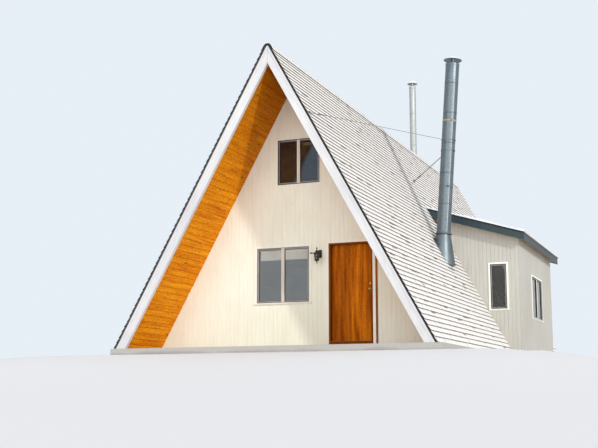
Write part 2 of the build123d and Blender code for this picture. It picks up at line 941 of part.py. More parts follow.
near_flashing = flashing(
    near_pipe_plane, near_slope_plane, near_radius, near_plate, near_cone_spread, near_cone_height
)
rear_flashing = flashing(
    rear_pipe_plane, rear_slope_plane, rear_radius, rear_plate, rear_cone_spread, rear_cone_height
)
finish(Compound(children=[near_flashing, rear_flashing]), "flue_flashings")

near_cap = rain_cap(near_pipe_plane, near_radius, near_flue_length)
rear_cap = rain_cap(rear_pipe_plane, rear_radius, rear_flue_length)
finish(Compound(children=[near_cap, rear_cap]), "flue_caps")

near_pipe = flue_pipe(near_pipe_plane, near_slope_plane, near_radius, flue_wall, near_flue_length)
rear_pipe = flue_pipe(rear_pipe_plane, rear_slope_plane, rear_radius, rear_flue_wall, rear_flue_length)
finish(near_pipe, "near_flue")
finish(rear_pipe, "rear_flue")

# Collars round the near flue, where its stays take hold
with BuildPart() as flue_collars:
    for rise in (cable_rise, rod_rise):
        with BuildSketch(near_pipe_plane.offset(rise - collar_height / 2)):
            RegularPolygon(near_radius + collar_thickness + flashing_gap, collar_sides, major_radius=False)
            RegularPolygon(near_radius + flashing_gap, collar_sides, major_radius=False, mode=Mode.SUBTRACT)
        extrude(amount=collar_height)
finish(flue_collars.part, "flue_collars")


def slope_foot(center, setback):
    """Plane on the right slope's shingles where a stay is fixed."""
    origin = (center, front_face + setback, ridge_height - pitch_tan * center)
    return Plane(origin=origin, x_dir=(0, 1, 0), z_dir=(pitch_sin, 0, pitch_cos))


def stay(radius, rise, foot_plane):
    """Straight stay from the flue's collar down to a pad on the slope."""
    grip = near_pipe_plane.origin + near_pipe_plane.z_dir * rise
    foot = foot_plane.origin + foot_plane.z_dir * stay_pad_height
    run = foot - grip
    aim = Plane(origin=grip, z_dir=run)
    clear = near_radius + collar_thickness + flashing_gap
    with BuildPart() as made:
        with BuildSketch(aim):
            Circle(radius)
        extrude(amount=run.length)
        with BuildSketch(near_pipe_plane):
            Circle(clear)
        extrude(amount=near_flue_length, mode=Mode.SUBTRACT)
        with BuildSketch(foot_plane):
            Rectangle(stay_pad, stay_pad)
        extrude(amount=stay_pad_height)
    return made.part


finish(stay(cable_radius, cable_rise, slope_foot(cable_foot_center, cable_foot_setback)), "flue_cable")
finish(stay(rod_radius, rod_rise, slope_foot(rod_foot_center, rod_foot_setback)), "flue_rod")

# Lantern: a backplate and arm, and a tapered six-sided cage under a flared roof, with a ball on the top
lantern_center = door_left - lantern_gap
lantern_y = front_face - lantern_reach
backplate_z = lantern_tip + backplate_rise
cage_top = brim_rise - cage_plate
iron_rings = [
    [
        (0, tip_radius),
        (foot_rise, foot_radius),
        (cup_rise, foot_radius),
        (cage_rise - cage_plate, cage_bottom_radius + cage_overhang),
        (cage_rise, cage_bottom_radius + cage_overhang),
    ],
    [
        (cage_top, brim_radius),
        (brim_rise, brim_radius),
        (shoulder_rise, shoulder_radius),
        (roof_rise, neck_radius),
        (ball_rise - ball_radius, neck_radius),
        (ball_rise, ball_radius),
        (finial_rise - ball_radius, ball_radius),
        (finial_rise, neck_radius),
    ],
]


def lantern_level(rise):
    """Level plane on the lantern's axis, at a rise over its lowest tip."""
    return Plane(origin=(lantern_center, lantern_y, lantern_tip + rise))


def lantern_form(low, high):
    """Closed form with flat sides, from one rise and corner radius to the next."""
    flat = cos(pi / lantern_sides)
    with BuildPart() as made:
        with BuildSketch(lantern_level(low[0])):
            RegularPolygon(max(low[1], high[1]), lantern_sides)
        extrude(amount=high[0] - low[0])
        if low[1] != high[1]:
            for index in range(lantern_sides):
                turn = 2 * pi * (index + 0.5) / lantern_sides
                foot = Vector(low[1] * flat * cos(turn), low[1] * flat * sin(turn), 0)
                gain = (high[1] - low[1]) * flat
                side = Vector(cos(turn), sin(turn), -gain / (high[0] - low[0]))
                origin = lantern_level(low[0]).origin + foot
                split(bisect_by=Plane(origin=origin, z_dir=side), keep=Keep.BOTTOM)
    return made.part


with BuildPart() as wall_lantern:
    with BuildSketch(front_plane):
        with Locations((lantern_center, backplate_z)):
            RectangleRounded(backplate_width, backplate_height, backplate_round)
    extrude(amount=backplate_thickness)
    with BuildSketch(cross(front_face - backplate_thickness)):
        with Locations((lantern_center, lantern_tip + brim_rise)):
            Rectangle(arm_size, arm_size)
    extrude(amount=lantern_reach - backplate_thickness - neck_radius)
    for rings in iron_rings:
        for low, high in zip(rings, rings[1:]):
            add(lantern_form(low, high))
    for index in range(lantern_sides):
        turn = radians(index * 360 / lantern_sides)
        spread = cage_top_radius - cage_bottom_radius
        lean = Vector(spread * cos(turn), spread * sin(turn), cage_top - cage_rise)
        with BuildSketch(lantern_level(cage_rise)):
            with Locations((cage_bottom_radius * cos(turn), cage_bottom_radius * sin(turn))):
                Rectangle(cage_bar, cage_bar, rotation=index * 360 / lantern_sides)
        extrude(amount=lean.length, dir=lean.normalized())
finish(wall_lantern.part, "wall_lantern")

glass_low = (cage_rise, cage_bottom_radius - glass_inset)
glass_high = (cage_top, cage_top_radius - glass_inset)
finish(lantern_form(glass_low, glass_high), "lantern_glass")
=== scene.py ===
"""Looks of a steep timber cabin under light snow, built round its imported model."""

import logging
import math
from dataclasses import dataclass
from enum import Enum
from typing import Sequence

import bmesh
import bpy
from mathutils import Matrix, Vector, noise


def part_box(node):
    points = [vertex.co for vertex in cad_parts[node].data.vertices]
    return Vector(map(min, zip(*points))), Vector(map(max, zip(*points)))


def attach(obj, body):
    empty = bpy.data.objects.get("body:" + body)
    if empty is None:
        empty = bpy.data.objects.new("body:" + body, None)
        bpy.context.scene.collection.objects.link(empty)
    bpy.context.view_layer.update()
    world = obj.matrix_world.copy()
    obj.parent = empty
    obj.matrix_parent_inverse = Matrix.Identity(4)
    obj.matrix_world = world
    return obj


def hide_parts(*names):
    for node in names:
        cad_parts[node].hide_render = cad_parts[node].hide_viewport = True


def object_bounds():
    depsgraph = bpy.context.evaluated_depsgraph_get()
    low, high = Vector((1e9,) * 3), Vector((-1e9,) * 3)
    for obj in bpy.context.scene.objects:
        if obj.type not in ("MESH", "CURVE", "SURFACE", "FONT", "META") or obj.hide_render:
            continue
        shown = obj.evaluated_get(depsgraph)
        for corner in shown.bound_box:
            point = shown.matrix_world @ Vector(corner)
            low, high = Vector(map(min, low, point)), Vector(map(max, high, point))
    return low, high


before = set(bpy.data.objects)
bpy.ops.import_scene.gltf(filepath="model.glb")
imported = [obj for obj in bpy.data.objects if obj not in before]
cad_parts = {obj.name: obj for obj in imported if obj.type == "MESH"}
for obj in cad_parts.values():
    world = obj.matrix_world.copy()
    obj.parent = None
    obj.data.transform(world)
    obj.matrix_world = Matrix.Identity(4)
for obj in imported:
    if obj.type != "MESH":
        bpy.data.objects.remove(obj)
CAD_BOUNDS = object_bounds()

log = logging.getLogger("cabin")

Color = tuple[float, float, float]
Point = tuple[float, float, float]
Outline = Sequence[tuple[float, float]]
Mesh = bpy.types.Mesh
MeshObject = bpy.types.Object
Node = bpy.types.Node
Socket = bpy.types.NodeSocket


def rgb(red: int, green: int, blue: int) -> Color:
    """A colour given as it shows on a screen, from 0 to 255.

    Args:
        red: Red as shown.
        green: Green as shown.
        blue: Blue as shown.

    Returns:
        The same colour in linear light.
    """
    def linear(value: float) -> float:
        """One channel in linear light."""
        share = value / 255
        return share / 12.92 if share <= 0.04045 else ((share + 0.055) / 1.055) ** 2.4

    return (linear(red), linear(green), linear(blue))


# Node trees


class Graph:
    """A node tree being built, for a material, a shader group, the sky or pieces."""

    def __init__(self, tree: bpy.types.NodeTree) -> None:
        """Starts on an empty tree.

        Args:
            tree: The tree that the nodes go into.
        """
        self.tree = tree

    def node(self, kind: str, **settings: object) -> Node:
        """Adds a node.

        Args:
            kind: The node's type name.
            **settings: Properties of the node.

        Returns:
            The new node.
        """
        made = self.tree.nodes.new(kind)
        for key, value in settings.items():
            setattr(made, key, value)
        return made

    def put(self, socket: Socket, value: object) -> None:
        """Links a socket to an output, or sets it to a value.

        Args:
            socket: The input to feed.
            value: An output socket, or a plain value.
        """
        if isinstance(value, bpy.types.NodeSocket):
            self.tree.links.new(value, socket)
        elif isinstance(value, tuple) and len(value) == 3 and len(getattr(socket, "default_value", ())) == 4:
            socket.default_value = (*value, 1.0)
        else:
            socket.default_value = value

    def fed(self, kind: str, inputs: dict[object, object], **settings: object) -> Node:
        """Adds a node and feeds its inputs.

        Args:
            kind: The node's type name.
            inputs: Values or outputs, by the input's name or place.
            **settings: Properties of the node.

        Returns:
            The new node.
        """
        made = self.node(kind, **settings)
        for label, value in inputs.items():
            self.put(made.inputs[label], value)
        return made

    def math(self, operation: str, first: object, second: object = 0.0) -> Socket:
        """One or two numbers worked on, as the math node names it."""
        return self.fed("ShaderNodeMath", {0: first, 1: second}, operation=operation).outputs[0]

    def plus(self, first: object, second: object) -> Socket:
        """The sum of two numbers."""
        return self.math("ADD", first, second)

    def minus(self, first: object, second: object) -> Socket:
        """The first number less the second."""
        return self.math("SUBTRACT", first, second)

    def times(self, first: object, second: object) -> Socket:
        """The product of two numbers."""
        return self.math("MULTIPLY", first, second)

    def vector(self, operation: str, first: object, second: object = (0.0, 0.0, 0.0)) -> Socket:
        """Two vectors worked on, as the vector math node names it."""
        return self.fed("ShaderNodeVectorMath", {0: first, 1: second}, operation=operation).outputs[0]

    def split(self, vector: Socket) -> Sequence[Socket]:
        """The three parts of a vector."""
        return self.fed("ShaderNodeSeparateXYZ", {0: vector}).outputs

    def join(self, x: object, y: object, z: object) -> Socket:
        """A vector of three numbers."""
        return self.fed("ShaderNodeCombineXYZ", {0: x, 1: y, 2: z}).outputs[0]

    def spread(self, value: object, low: float, high: float, to_low: float = 0.0, to_high: float = 1.0
               ) -> Socket:
        """Stretches a range of values onto another, held at both ends.

        Args:
            value: The number or output to stretch.
            low: Where the old range starts.
            high: Where the old range ends.
            to_low: Where the new range starts.
            to_high: Where the new range ends.

        Returns:
            The stretched value's socket.
        """
        inputs = dict(enumerate((value, low, high, to_low, to_high)))
        return self.fed("ShaderNodeMapRange", inputs).outputs[0]

    def noise(self, vector: Socket, scale: object, detail: float, rough: float) -> Socket:
        """Smooth noise from 0 to 1.

        Args:
            vector: Where the noise is read.
            scale: How fine it is.
            detail: How many finer layers it has.
            rough: How strong the finer layers are.

        Returns:
            The noise value's socket.
        """
        inputs = {"Vector": vector, "Scale": scale, "Detail": detail, "Roughness": rough}
        return self.fed("ShaderNodeTexNoise", inputs).outputs["Fac"]

    def mix(self, share: object, first: object, second: object) -> Socket:
        """A colour between two, the second where the share is 1."""
        return self.fed("ShaderNodeMix", {0: share, 6: first, 7: second}, data_type="RGBA").outputs[2]

    def group(self, tree: bpy.types.NodeTree, **values: object) -> Node:
        """Places a shader group.

        Args:
            tree: The group.
            **values: Its inputs, by name with underscores for spaces.

        Returns:
            The group's node.
        """
        inputs = {key.replace("_", " "): value for key, value in values.items()}
        return self.fed("ShaderNodeGroup", inputs, node_tree=tree)


class SharedEffects:
    """Shader groups that several finishes use, each built once."""

    def __init__(self) -> None:
        """Builds every group."""
        self.weather = self._weather()
        self.grain = self._grain()
        self.snow = self._snow()
        self.streaks = self._streaks()

    @staticmethod
    def _start(name: str, outputs: Sequence[str], **numbers: float) -> tuple[Graph, Sequence[Socket], Node]:
        """Opens a group that takes a vector and some numbers, and gives out numbers.

        Args:
            name: The group's name.
            outputs: Names of what it gives out.
            **numbers: Default of each number that it takes, by name.

        Returns:
            The graph, the group's input sockets and its output node.
        """
        tree = bpy.data.node_groups.new(name, "ShaderNodeTree")
        tree.interface.new_socket(name="Vector", in_out="INPUT", socket_type="NodeSocketVector")
        for label, default in numbers.items():
            socket = tree.interface.new_socket(name=label, in_out="INPUT", socket_type="NodeSocketFloat")
            socket.default_value = default
        for label in outputs:
            tree.interface.new_socket(name=label, in_out="OUTPUT", socket_type="NodeSocketFloat")
        graph = Graph(tree)
        return graph, graph.node("NodeGroupInput").outputs, graph.node("NodeGroupOutput")

    def _weather(self) -> bpy.types.NodeTree:
        """Broad fading and fine speckle over any surface."""
        graph, given, out = self._start("weathering", ("Broad", "Fine", "Height"), Scale=1.0)
        broad = graph.noise(given["Vector"], given["Scale"], 3.0, 0.5)
        fine = graph.noise(given["Vector"], graph.times(given["Scale"], 40.0), 5.0, 0.6)
        graph.put(out.inputs["Broad"], graph.spread(broad, 0.32, 0.68))
        graph.put(out.inputs["Fine"], graph.spread(fine, 0.3, 0.7))
        graph.put(out.inputs["Height"], graph.plus(graph.times(broad, 0.4), fine))
        return graph.tree

    def _grain(self) -> bpy.types.NodeTree:
        """Wood grain running along the vector's Y, with knots and a tone for each board across its X."""
        graph, given, out = self._start("wood_grain", ("Grain", "Board Tone", "Knots", "Joint"), Board=0.14,
                                        Fineness=1.0)
        x, y, z = graph.split(given["Vector"])[:3]
        boards = graph.math("DIVIDE", x, given["Board"])
        board = graph.math("FLOOR", boards)
        off_middle = graph.math("ABSOLUTE", graph.minus(graph.math("FRACT", boards), 0.5))
        tone = graph.fed("ShaderNodeTexWhiteNoise", {"W": board}, noise_dimensions="1D")
        shift = graph.times(board, 7.31)
        along = graph.plus(graph.times(y, 0.9), shift)
        stretched = graph.join(graph.times(x, 14.0), along, graph.times(z, 14.0))
        rings = graph.noise(stretched, given["Fineness"], 5.0, 0.62)
        fibre = graph.noise(graph.join(graph.times(x, 90.0), along, z), given["Fineness"], 3.0, 0.6)
        both = graph.plus(graph.times(rings, 0.7), graph.times(fibre, 0.3))
        spots = graph.join(graph.times(x, 3.6), graph.plus(graph.times(y, 1.5), shift), 0.0)
        cells = graph.fed("ShaderNodeTexVoronoi", {"Vector": spots, "Scale": 1.0}, feature="F1")
        graph.put(out.inputs["Grain"], graph.spread(both, 0.38, 0.62))
        graph.put(out.inputs["Board Tone"], tone.outputs["Value"])
        graph.put(out.inputs["Knots"], graph.spread(cells.outputs["Distance"], 0.045, 0.11, 1.0, 0.0))
        graph.put(out.inputs["Joint"], graph.spread(off_middle, 0.47, 0.49))
        return graph.tree

    def _snow(self) -> bpy.types.NodeTree:
        """Thin snow that lies in patches, thicker where the amount is higher."""
        graph, given, out = self._start("snow_cover", ("Mask",), Amount=0.6, Scale=3.0)
        drift = graph.noise(given["Vector"], given["Scale"], 6.0, 0.62)
        level = graph.minus(1.0, given["Amount"])
        lift = graph.minus(graph.spread(drift, 0.25, 0.75), level)
        graph.put(out.inputs["Mask"], graph.spread(lift, -0.06, 0.10))
        return graph.tree

    def _streaks(self) -> bpy.types.NodeTree:
        """Faint streaks that run along the vector's Y."""
        graph, given, out = self._start("drawn_streaks", ("Value",), Scale=1.0)
        x, y, z = graph.split(given["Vector"])[:3]
        narrow = graph.join(graph.times(x, 9.0), y, graph.times(z, 9.0))
        value = graph.noise(narrow, given["Scale"], 4.0, 0.55)
        graph.put(out.inputs["Value"], graph.spread(value, 0.42, 0.75))
        return graph.tree


EFFECTS = SharedEffects()


# Finishes


class Lay(Enum):
    """How a board's grain lies: which of the object's axes runs across it and which along it."""

    SLOPE = "across the slope, grain along the ridge"
    UPRIGHT = "across X, grain up and down"
    FLOOR = "across X, grain along Y"
    RAKE = "across the slope's depth, grain down the slope"


ROOF_PITCH = math.radians(61)
RIDGE_HEIGHT = 3.590 * math.tan(ROOF_PITCH)
GABLE_FACE = 6.4
WHITE = (1.0, 1.0, 1.0)


@dataclass(frozen=True)
class Finish:
    """What every finish has: a name, and its sheen.

    Attributes:
        name: The material's name.
        gloss: Roughness of the clean surface.
        metal: 1 for bare metal, 0 for anything else.
    """

    name: str
    gloss: float = 0.6
    metal: float = 0.0

    def material(self) -> bpy.types.Material:
        """The material, built the first time that it is asked for.

        Returns:
            The finished material.
        """
        made = bpy.data.materials.get(self.name)
        if made is None:
            made = bpy.data.materials.new(self.name)
            made.use_nodes = True
            graph = Graph(made.node_tree)
            shader = made.node_tree.nodes["Principled BSDF"]
            shader.inputs["Metallic"].default_value = self.metal
            shader.inputs["Roughness"].default_value = self.gloss
            place = graph.node("ShaderNodeTexCoord").outputs["Object"]
            self.dress(graph, shader, place)
        return made

    def dress(self, graph: Graph, shader: Node, place: Socket) -> None:
        """Adds this finish's own nodes.

        Args:
            graph: The material's nodes.
            shader: Its principled shader.
            place: The point on the surface, in the cabin's own frame.
        """
        raise NotImplementedError

    @staticmethod
    def bump(graph: Graph, shader: Node, height: Socket, distance: float, strength: float) -> None:
        """Raises the surface by a height map.

        Args:
            graph: The material's nodes.
            shader: Its principled shader.
            height: Height from 0 to 1.
            distance: What 1 is in metres.
            strength: How much of it shows.
        """
        made = graph.fed("ShaderNodeBump", {"Strength": strength, "Distance": distance, "Height": height})
        graph.put(shader.inputs["Normal"], made.outputs[0])

    @staticmethod
    def laid(graph: Graph, place: Socket, lay: Lay) -> Socket:
        """The point seen by a board: across it, along it and through it.

        Args:
            graph: The material's nodes.
            place: The point in the cabin's frame.
            lay: How the board lies.

        Returns:
            The turned point.
        """
        x, y, z = graph.split(place)[:3]
        if lay is Lay.SLOPE:
            return graph.join(graph.times(z, 1 / math.sin(ROOF_PITCH)), y, x)
        if lay is Lay.UPRIGHT:
            return graph.join(x, z, y)
        if lay is Lay.RAKE:
            out = graph.math("ABSOLUTE", x)
            fall = graph.minus(RIDGE_HEIGHT, z)
            sine, cosine = math.sin(ROOF_PITCH), math.cos(ROOF_PITCH)
            depth = graph.minus(graph.times(fall, cosine), graph.times(out, sine))
            run = graph.plus(graph.times(out, cosine), graph.times(fall, sine))
            return graph.join(depth, run, y)
        return graph.join(x, y, z)


@dataclass(frozen=True)
class Paint(Finish):
    """Brushed paint on board or timber, faded and a little dirty.

    Attributes:
        color: Clean paint.
        faded: The same paint where it has faded.
        dirt: What has settled in it.
        dirty: How much of that shows.
        lay: Which way its streaks run.
        narrow: How narrow the streaks are.
        painted_glow: Painted light, an emission that stands in for the daylight that would reach a blind
            behind the glass.
    """

    color: Color = WHITE
    faded: Color = WHITE
    dirt: Color = (0.2, 0.17, 0.13)
    dirty: float = 0.25
    lay: Lay = Lay.UPRIGHT
    narrow: float = 1.3
    painted_glow: float = 0.0

    def dress(self, graph: Graph, shader: Node, place: Socket) -> None:
        """Paint fades broadly, and streaks of dirt run along it."""
        weather = graph.group(EFFECTS.weather, Vector=place, Scale=0.55)
        streaks = graph.group(EFFECTS.streaks, Vector=self.laid(graph, place, self.lay), Scale=self.narrow)
        paint = graph.mix(weather.outputs["Broad"], self.color, self.faded)
        soiled = graph.times(streaks.outputs["Value"], self.dirty)
        speck = graph.times(graph.spread(weather.outputs["Fine"], 0.78, 1.0), self.dirty * 1.4)
        color = graph.mix(graph.math("MAXIMUM", soiled, speck), paint, self.dirt)
        graph.put(shader.inputs["Base Color"], color)
        # Painted light: the paint glows in its own colour, by the amount set for it.
        graph.put(shader.inputs["Emission Color"], color)
        shader.inputs["Emission Strength"].default_value = self.painted_glow
        graph.put(shader.inputs["Roughness"], graph.spread(weather.outputs["Fine"], 0.0, 1.0,
                                                          self.gloss - 0.06, self.gloss + 0.12))
        self.bump(graph, shader, weather.outputs["Height"], distance=0.0012, strength=0.6)


@dataclass(frozen=True)
class Wood(Finish):
    """Boards of stained or bare timber, with grain, knots and a tone of its own for each board.

    Attributes:
        light: Early wood.
        dark: Late wood.
        deep: Knots and the darkest lines.
        board: Width of a board in metres.
        lay: How the boards lie.
        spread_of_tone: How much the boards differ.
        knots: How much the knots show.
        speckle: How much fine dark flecking shows.
        joints: How dark the joints between boards are.
        painted_shade: How far the highest boards are darkened, as painted shade under the ridge.
        painted_shade_from: Height where that painted shade starts.
        painted_shade_to: Height where the painted shade is darkest.
    """

    light: Color = (0.5, 0.3, 0.1)
    dark: Color = (0.3, 0.15, 0.05)
    deep: Color = (0.1, 0.04, 0.01)
    board: float = 0.14
    lay: Lay = Lay.FLOOR
    spread_of_tone: float = 0.35
    knots: float = 0.8
    speckle: float = 0.0
    joints: float = 0.0
    painted_shade: float = 0.0
    painted_shade_from: float = 3.4
    painted_shade_to: float = 6.2

    def dress(self, graph: Graph, shader: Node, place: Socket) -> None:
        """Grain runs along each board, and no two boards are quite alike."""
        laid = self.laid(graph, place, self.lay)
        wood = graph.group(EFFECTS.grain, Vector=laid, Board=self.board, Fineness=1.0)
        weather = graph.group(EFFECTS.weather, Vector=place, Scale=0.8)
        stain = graph.mix(wood.outputs["Grain"], self.dark, self.light)
        tone = graph.times(wood.outputs["Board Tone"], self.spread_of_tone)
        stain = graph.mix(tone, stain, self.dark)
        stain = graph.mix(graph.times(weather.outputs["Broad"], 0.25), stain, self.light)
        # Painted shade: the boards are darkened with height, towards the ridge.
        high = graph.spread(graph.split(place)[2], self.painted_shade_from, self.painted_shade_to, 0.0, self.painted_shade)
        stain = graph.mix(high, stain, self.deep)
        fleck = graph.times(graph.spread(weather.outputs["Fine"], 0.55, 0.95), self.speckle)
        marks = graph.math("MAXIMUM", graph.times(wood.outputs["Knots"], self.knots), fleck)
        marks = graph.math("MAXIMUM", marks, graph.times(wood.outputs["Joint"], self.joints))
        graph.put(shader.inputs["Base Color"], graph.mix(marks, stain, self.deep))
        shader.inputs["Specular IOR Level"].default_value = 0.06
        graph.put(shader.inputs["Roughness"], graph.spread(wood.outputs["Grain"], 0.0, 1.0,
                                                          self.gloss + 0.1, self.gloss - 0.06))
        self.bump(graph, shader, wood.outputs["Grain"], distance=0.0012, strength=0.7)


@dataclass(frozen=True)
class Metal(Finish):
    """Metal, bare or painted, and rubber, with spangle, scuffs and dust.

    Attributes:
        color: Main colour.
        second: Colour of the spangle or scuffs.
        dust: Colour of what has settled.
        dusty: How much of it shows.
        grain: How fine the spangle is.
    """

    color: Color = (0.5, 0.5, 0.5)
    second: Color = (0.6, 0.6, 0.6)
    dust: Color = (0.5, 0.48, 0.44)
    dusty: float = 0.15
    grain: float = 26.0

    def dress(self, graph: Graph, shader: Node, place: Socket) -> None:
        """Spangle in flakes, broad dulling and dust."""
        weather = graph.group(EFFECTS.weather, Vector=place, Scale=1.7)
        flakes = graph.fed("ShaderNodeTexVoronoi", {"Vector": place, "Scale": self.grain}, feature="F1")
        spangle = graph.spread(graph.split(flakes.outputs["Color"])[0], 0.2, 0.9)
        metal = graph.mix(spangle, self.color, self.second)
        dusty = graph.times(weather.outputs["Broad"], self.dusty)
        graph.put(shader.inputs["Base Color"], graph.mix(dusty, metal, self.dust))
        rough = graph.plus(graph.times(weather.outputs["Broad"], 0.16), graph.times(spangle, 0.08))
        graph.put(shader.inputs["Roughness"], graph.plus(rough, self.gloss))
        self.bump(graph, shader, weather.outputs["Height"], distance=0.0006, strength=0.5)


@dataclass(frozen=True)
class SnowyShingle(Finish):
    """Asphalt shingles under a dusting of snow, bare where the course above shelters them and at their butts.

    Attributes:
        stone: Colour of the granules.
        pale: Lighter granules among them.
        edge: The cut ends along the rakes, near black: their own dark cut colour with painted shade in it.
        snow: Colour of the snow.
        cover: How much of the shingle the snow covers.
        shelter: How far down a tab the bare strip reaches.
    """

    stone: Color = (0.16, 0.13, 0.11)
    pale: Color = (0.3, 0.26, 0.23)
    edge: Color = (0.012, 0.013, 0.014)
    snow: Color = (0.9, 0.88, 0.85)
    cover: float = 0.9
    shelter: float = 0.15

    def dress(self, graph: Graph, shader: Node, place: Socket) -> None:
        """Snow lies on the lower part of each tab, and some tabs stay nearly bare."""
        down = graph.split(graph.node("ShaderNodeUVMap", uv_map="tab").outputs["UV"])[1]
        tone = graph.node("ShaderNodeAttribute", attribute_name="tone").outputs["Fac"]
        granules = graph.noise(place, 420.0, 2.0, 0.6)
        blotch = graph.group(EFFECTS.weather, Vector=place, Scale=2.2)
        stone = graph.mix(graph.spread(granules, 0.35, 0.65), self.stone, self.pale)
        stone = graph.mix(graph.spread(tone, 0.6, 1.0, 0.0, 0.55), stone, self.stone)
        _, along, up = graph.split(graph.node("ShaderNodeNewGeometry").outputs["Normal"])[:3]
        # Faces that look along the ridge, the cut ends at the rakes, go near black: partly their own colour,
        # partly painted shade.
        stone = graph.mix(graph.spread(graph.math("ABSOLUTE", along), 0.5, 0.8), stone, self.edge)
        cover = graph.group(EFFECTS.snow, Vector=place, Amount=self.cover, Scale=1.7)
        ragged = graph.times(graph.minus(blotch.outputs["Fine"], 0.5), 0.2)
        sheltered = graph.spread(tone, 0.9, 1.0, self.shelter, self.shelter + 0.3)
        settled = graph.spread(graph.minus(graph.plus(down, ragged), sheltered), 0.0, 0.12)
        patch = graph.spread(graph.noise(place, 1.6, 5.0, 0.65), 0.62, 0.68)
        settled = graph.math("MAXIMUM", settled, patch)
        mask = graph.times(graph.times(cover.outputs["Mask"], settled), graph.spread(up, 0.22, 0.4))
        white = graph.mix(graph.times(blotch.outputs["Fine"], 0.12), self.snow, self.pale)
        graph.put(shader.inputs["Base Color"], graph.mix(mask, stone, white))
        graph.put(shader.inputs["Roughness"], graph.spread(mask, 0.0, 1.0, 0.95, 0.7))
        height = graph.plus(graph.times(mask, 0.8), graph.times(granules, 0.3))
        self.bump(graph, shader, height, distance=0.003, strength=0.8)


@dataclass(frozen=True)
class Snow(Finish):
    """Old powdery snow.

    Attributes:
        color: Lit snow.
        shade: Its hollows.
    """

    color: Color = (0.86, 0.87, 0.9)
    shade: Color = (0.62, 0.66, 0.74)

    def dress(self, graph: Graph, shader: Node, place: Socket) -> None:
        """Soft lumps, a little blue in the hollows."""
        weather = graph.group(EFFECTS.weather, Vector=place, Scale=4.0)
        share = graph.times(weather.outputs["Fine"], 0.35)
        graph.put(shader.inputs["Base Color"], graph.mix(share, self.color, self.shade))
        self.bump(graph, shader, weather.outputs["Height"], distance=0.004, strength=0.7)


@dataclass(frozen=True)
class Concrete(Finish):
    """Cast concrete with lift lines, pores and damp near the ground.

    Attributes:
        color: Dry concrete.
        pale: Its palest patches.
        damp: Where it is wet.
    """

    color: Color = (0.42, 0.4, 0.37)
    pale: Color = (0.55, 0.53, 0.5)
    damp: Color = (0.2, 0.19, 0.18)

    def dress(self, graph: Graph, shader: Node, place: Socket) -> None:
        """Patchy grey, darker at the foot."""
        weather = graph.group(EFFECTS.weather, Vector=place, Scale=1.1)
        height = graph.plus(graph.split(place)[2], graph.times(weather.outputs["Broad"], 0.06))
        foot = graph.spread(height, 0.02, 0.11, 1.0, 0.0)
        grey = graph.mix(graph.times(weather.outputs["Fine"], 0.5), self.color, self.pale)
        graph.put(shader.inputs["Base Color"], graph.mix(graph.times(foot, 0.7), grey, self.damp))
        self.bump(graph, shader, weather.outputs["Height"], distance=0.003, strength=0.8)


@dataclass(frozen=True)
class Glass(Finish):
    """Window or lantern glass, a little dusty. The loft's panes take a colour of their own, painted shade of
    the dark loft behind them.

    Attributes:
        tint: Colour of the glass.
        loft_shade_tint: Colour of the loft's panes, painted shade of the dark loft behind them.
        bend: Its index, higher for a pane that stands for two.
        tilt: How far the loft's panes stand out of true, across.
        sheen: Colour of what it mirrors.
        dust: Colour of its dust.
        clear: How much light goes through.
        loft_from: Height where the loft's panes start.
    """

    tint: Color = (0.8, 0.86, 0.88)
    loft_shade_tint: Color = (0.2, 0.2, 0.2)
    bend: float = 1.5
    tilt: float = 0.0
    sheen: Color = WHITE
    dust: Color = (0.7, 0.76, 0.8)
    clear: float = 0.96
    loft_from: float = 3.0

    def dress(self, graph: Graph, shader: Node, place: Socket) -> None:
        """Clear glass, whose dust shows in its roughness."""
        weather = graph.group(EFFECTS.weather, Vector=place, Scale=2.5)
        loft = graph.math("GREATER_THAN", graph.split(place)[2], self.loft_from)
        shader.inputs["Transmission Weight"].default_value = self.clear
        shader.inputs["IOR"].default_value = self.bend
        shader.inputs["Specular Tint"].default_value = (*self.sheen, 1.0)
        # Panes above the loft height take their own colour: painted shade of the dark loft behind them.
        color = graph.mix(loft, self.tint, self.loft_shade_tint)
        dusty = graph.mix(graph.times(weather.outputs["Broad"], 0.15), color, self.dust)
        graph.put(shader.inputs["Base Color"], dusty)
        graph.put(shader.inputs["Roughness"], graph.spread(weather.outputs["Broad"], 0.0, 1.0, 0.01, 0.05))
        normal = graph.node("ShaderNodeNewGeometry").outputs["Normal"]
        lean = graph.times(graph.times(loft, self.tilt), graph.split(normal)[1])
        turned_by = graph.vector("ADD", normal, graph.join(lean, 0.0, 0.0))
        graph.put(shader.inputs["Normal"], graph.vector("NORMALIZE", turned_by))


WALL_PAINT = Paint("wall_paint", 0.72, color=rgb(243, 243, 229), faded=rgb(235, 234, 214),
                   dirt=rgb(172, 158, 130), dirty=0.12)
# The bay's walls: the walls' paint made darker and greyer, as painted shade.
BAY_SHADED_PAINT = Paint("bay_wall_paint_shaded", 0.72, color=rgb(196, 193, 185), faded=rgb(186, 182, 171),
                  dirt=rgb(140, 128, 108), dirty=0.15)
TRIM_PAINT = Paint("trim_paint", 0.6, color=rgb(223, 222, 221), faded=rgb(206, 205, 208),
                   dirt=rgb(150, 147, 150), dirty=0.25, lay=Lay.RAKE, narrow=4.0)
CASING_PAINT = Paint("casing_paint", 0.55, color=rgb(249, 248, 238), faded=rgb(240, 238, 224),
                     dirt=rgb(150, 140, 124), dirty=0.15)
BAR_PAINT = Paint("window_bar_paint", 0.55, color=rgb(236, 230, 216), faded=rgb(216, 208, 190),
                  dirt=rgb(120, 108, 92), dirty=0.3)
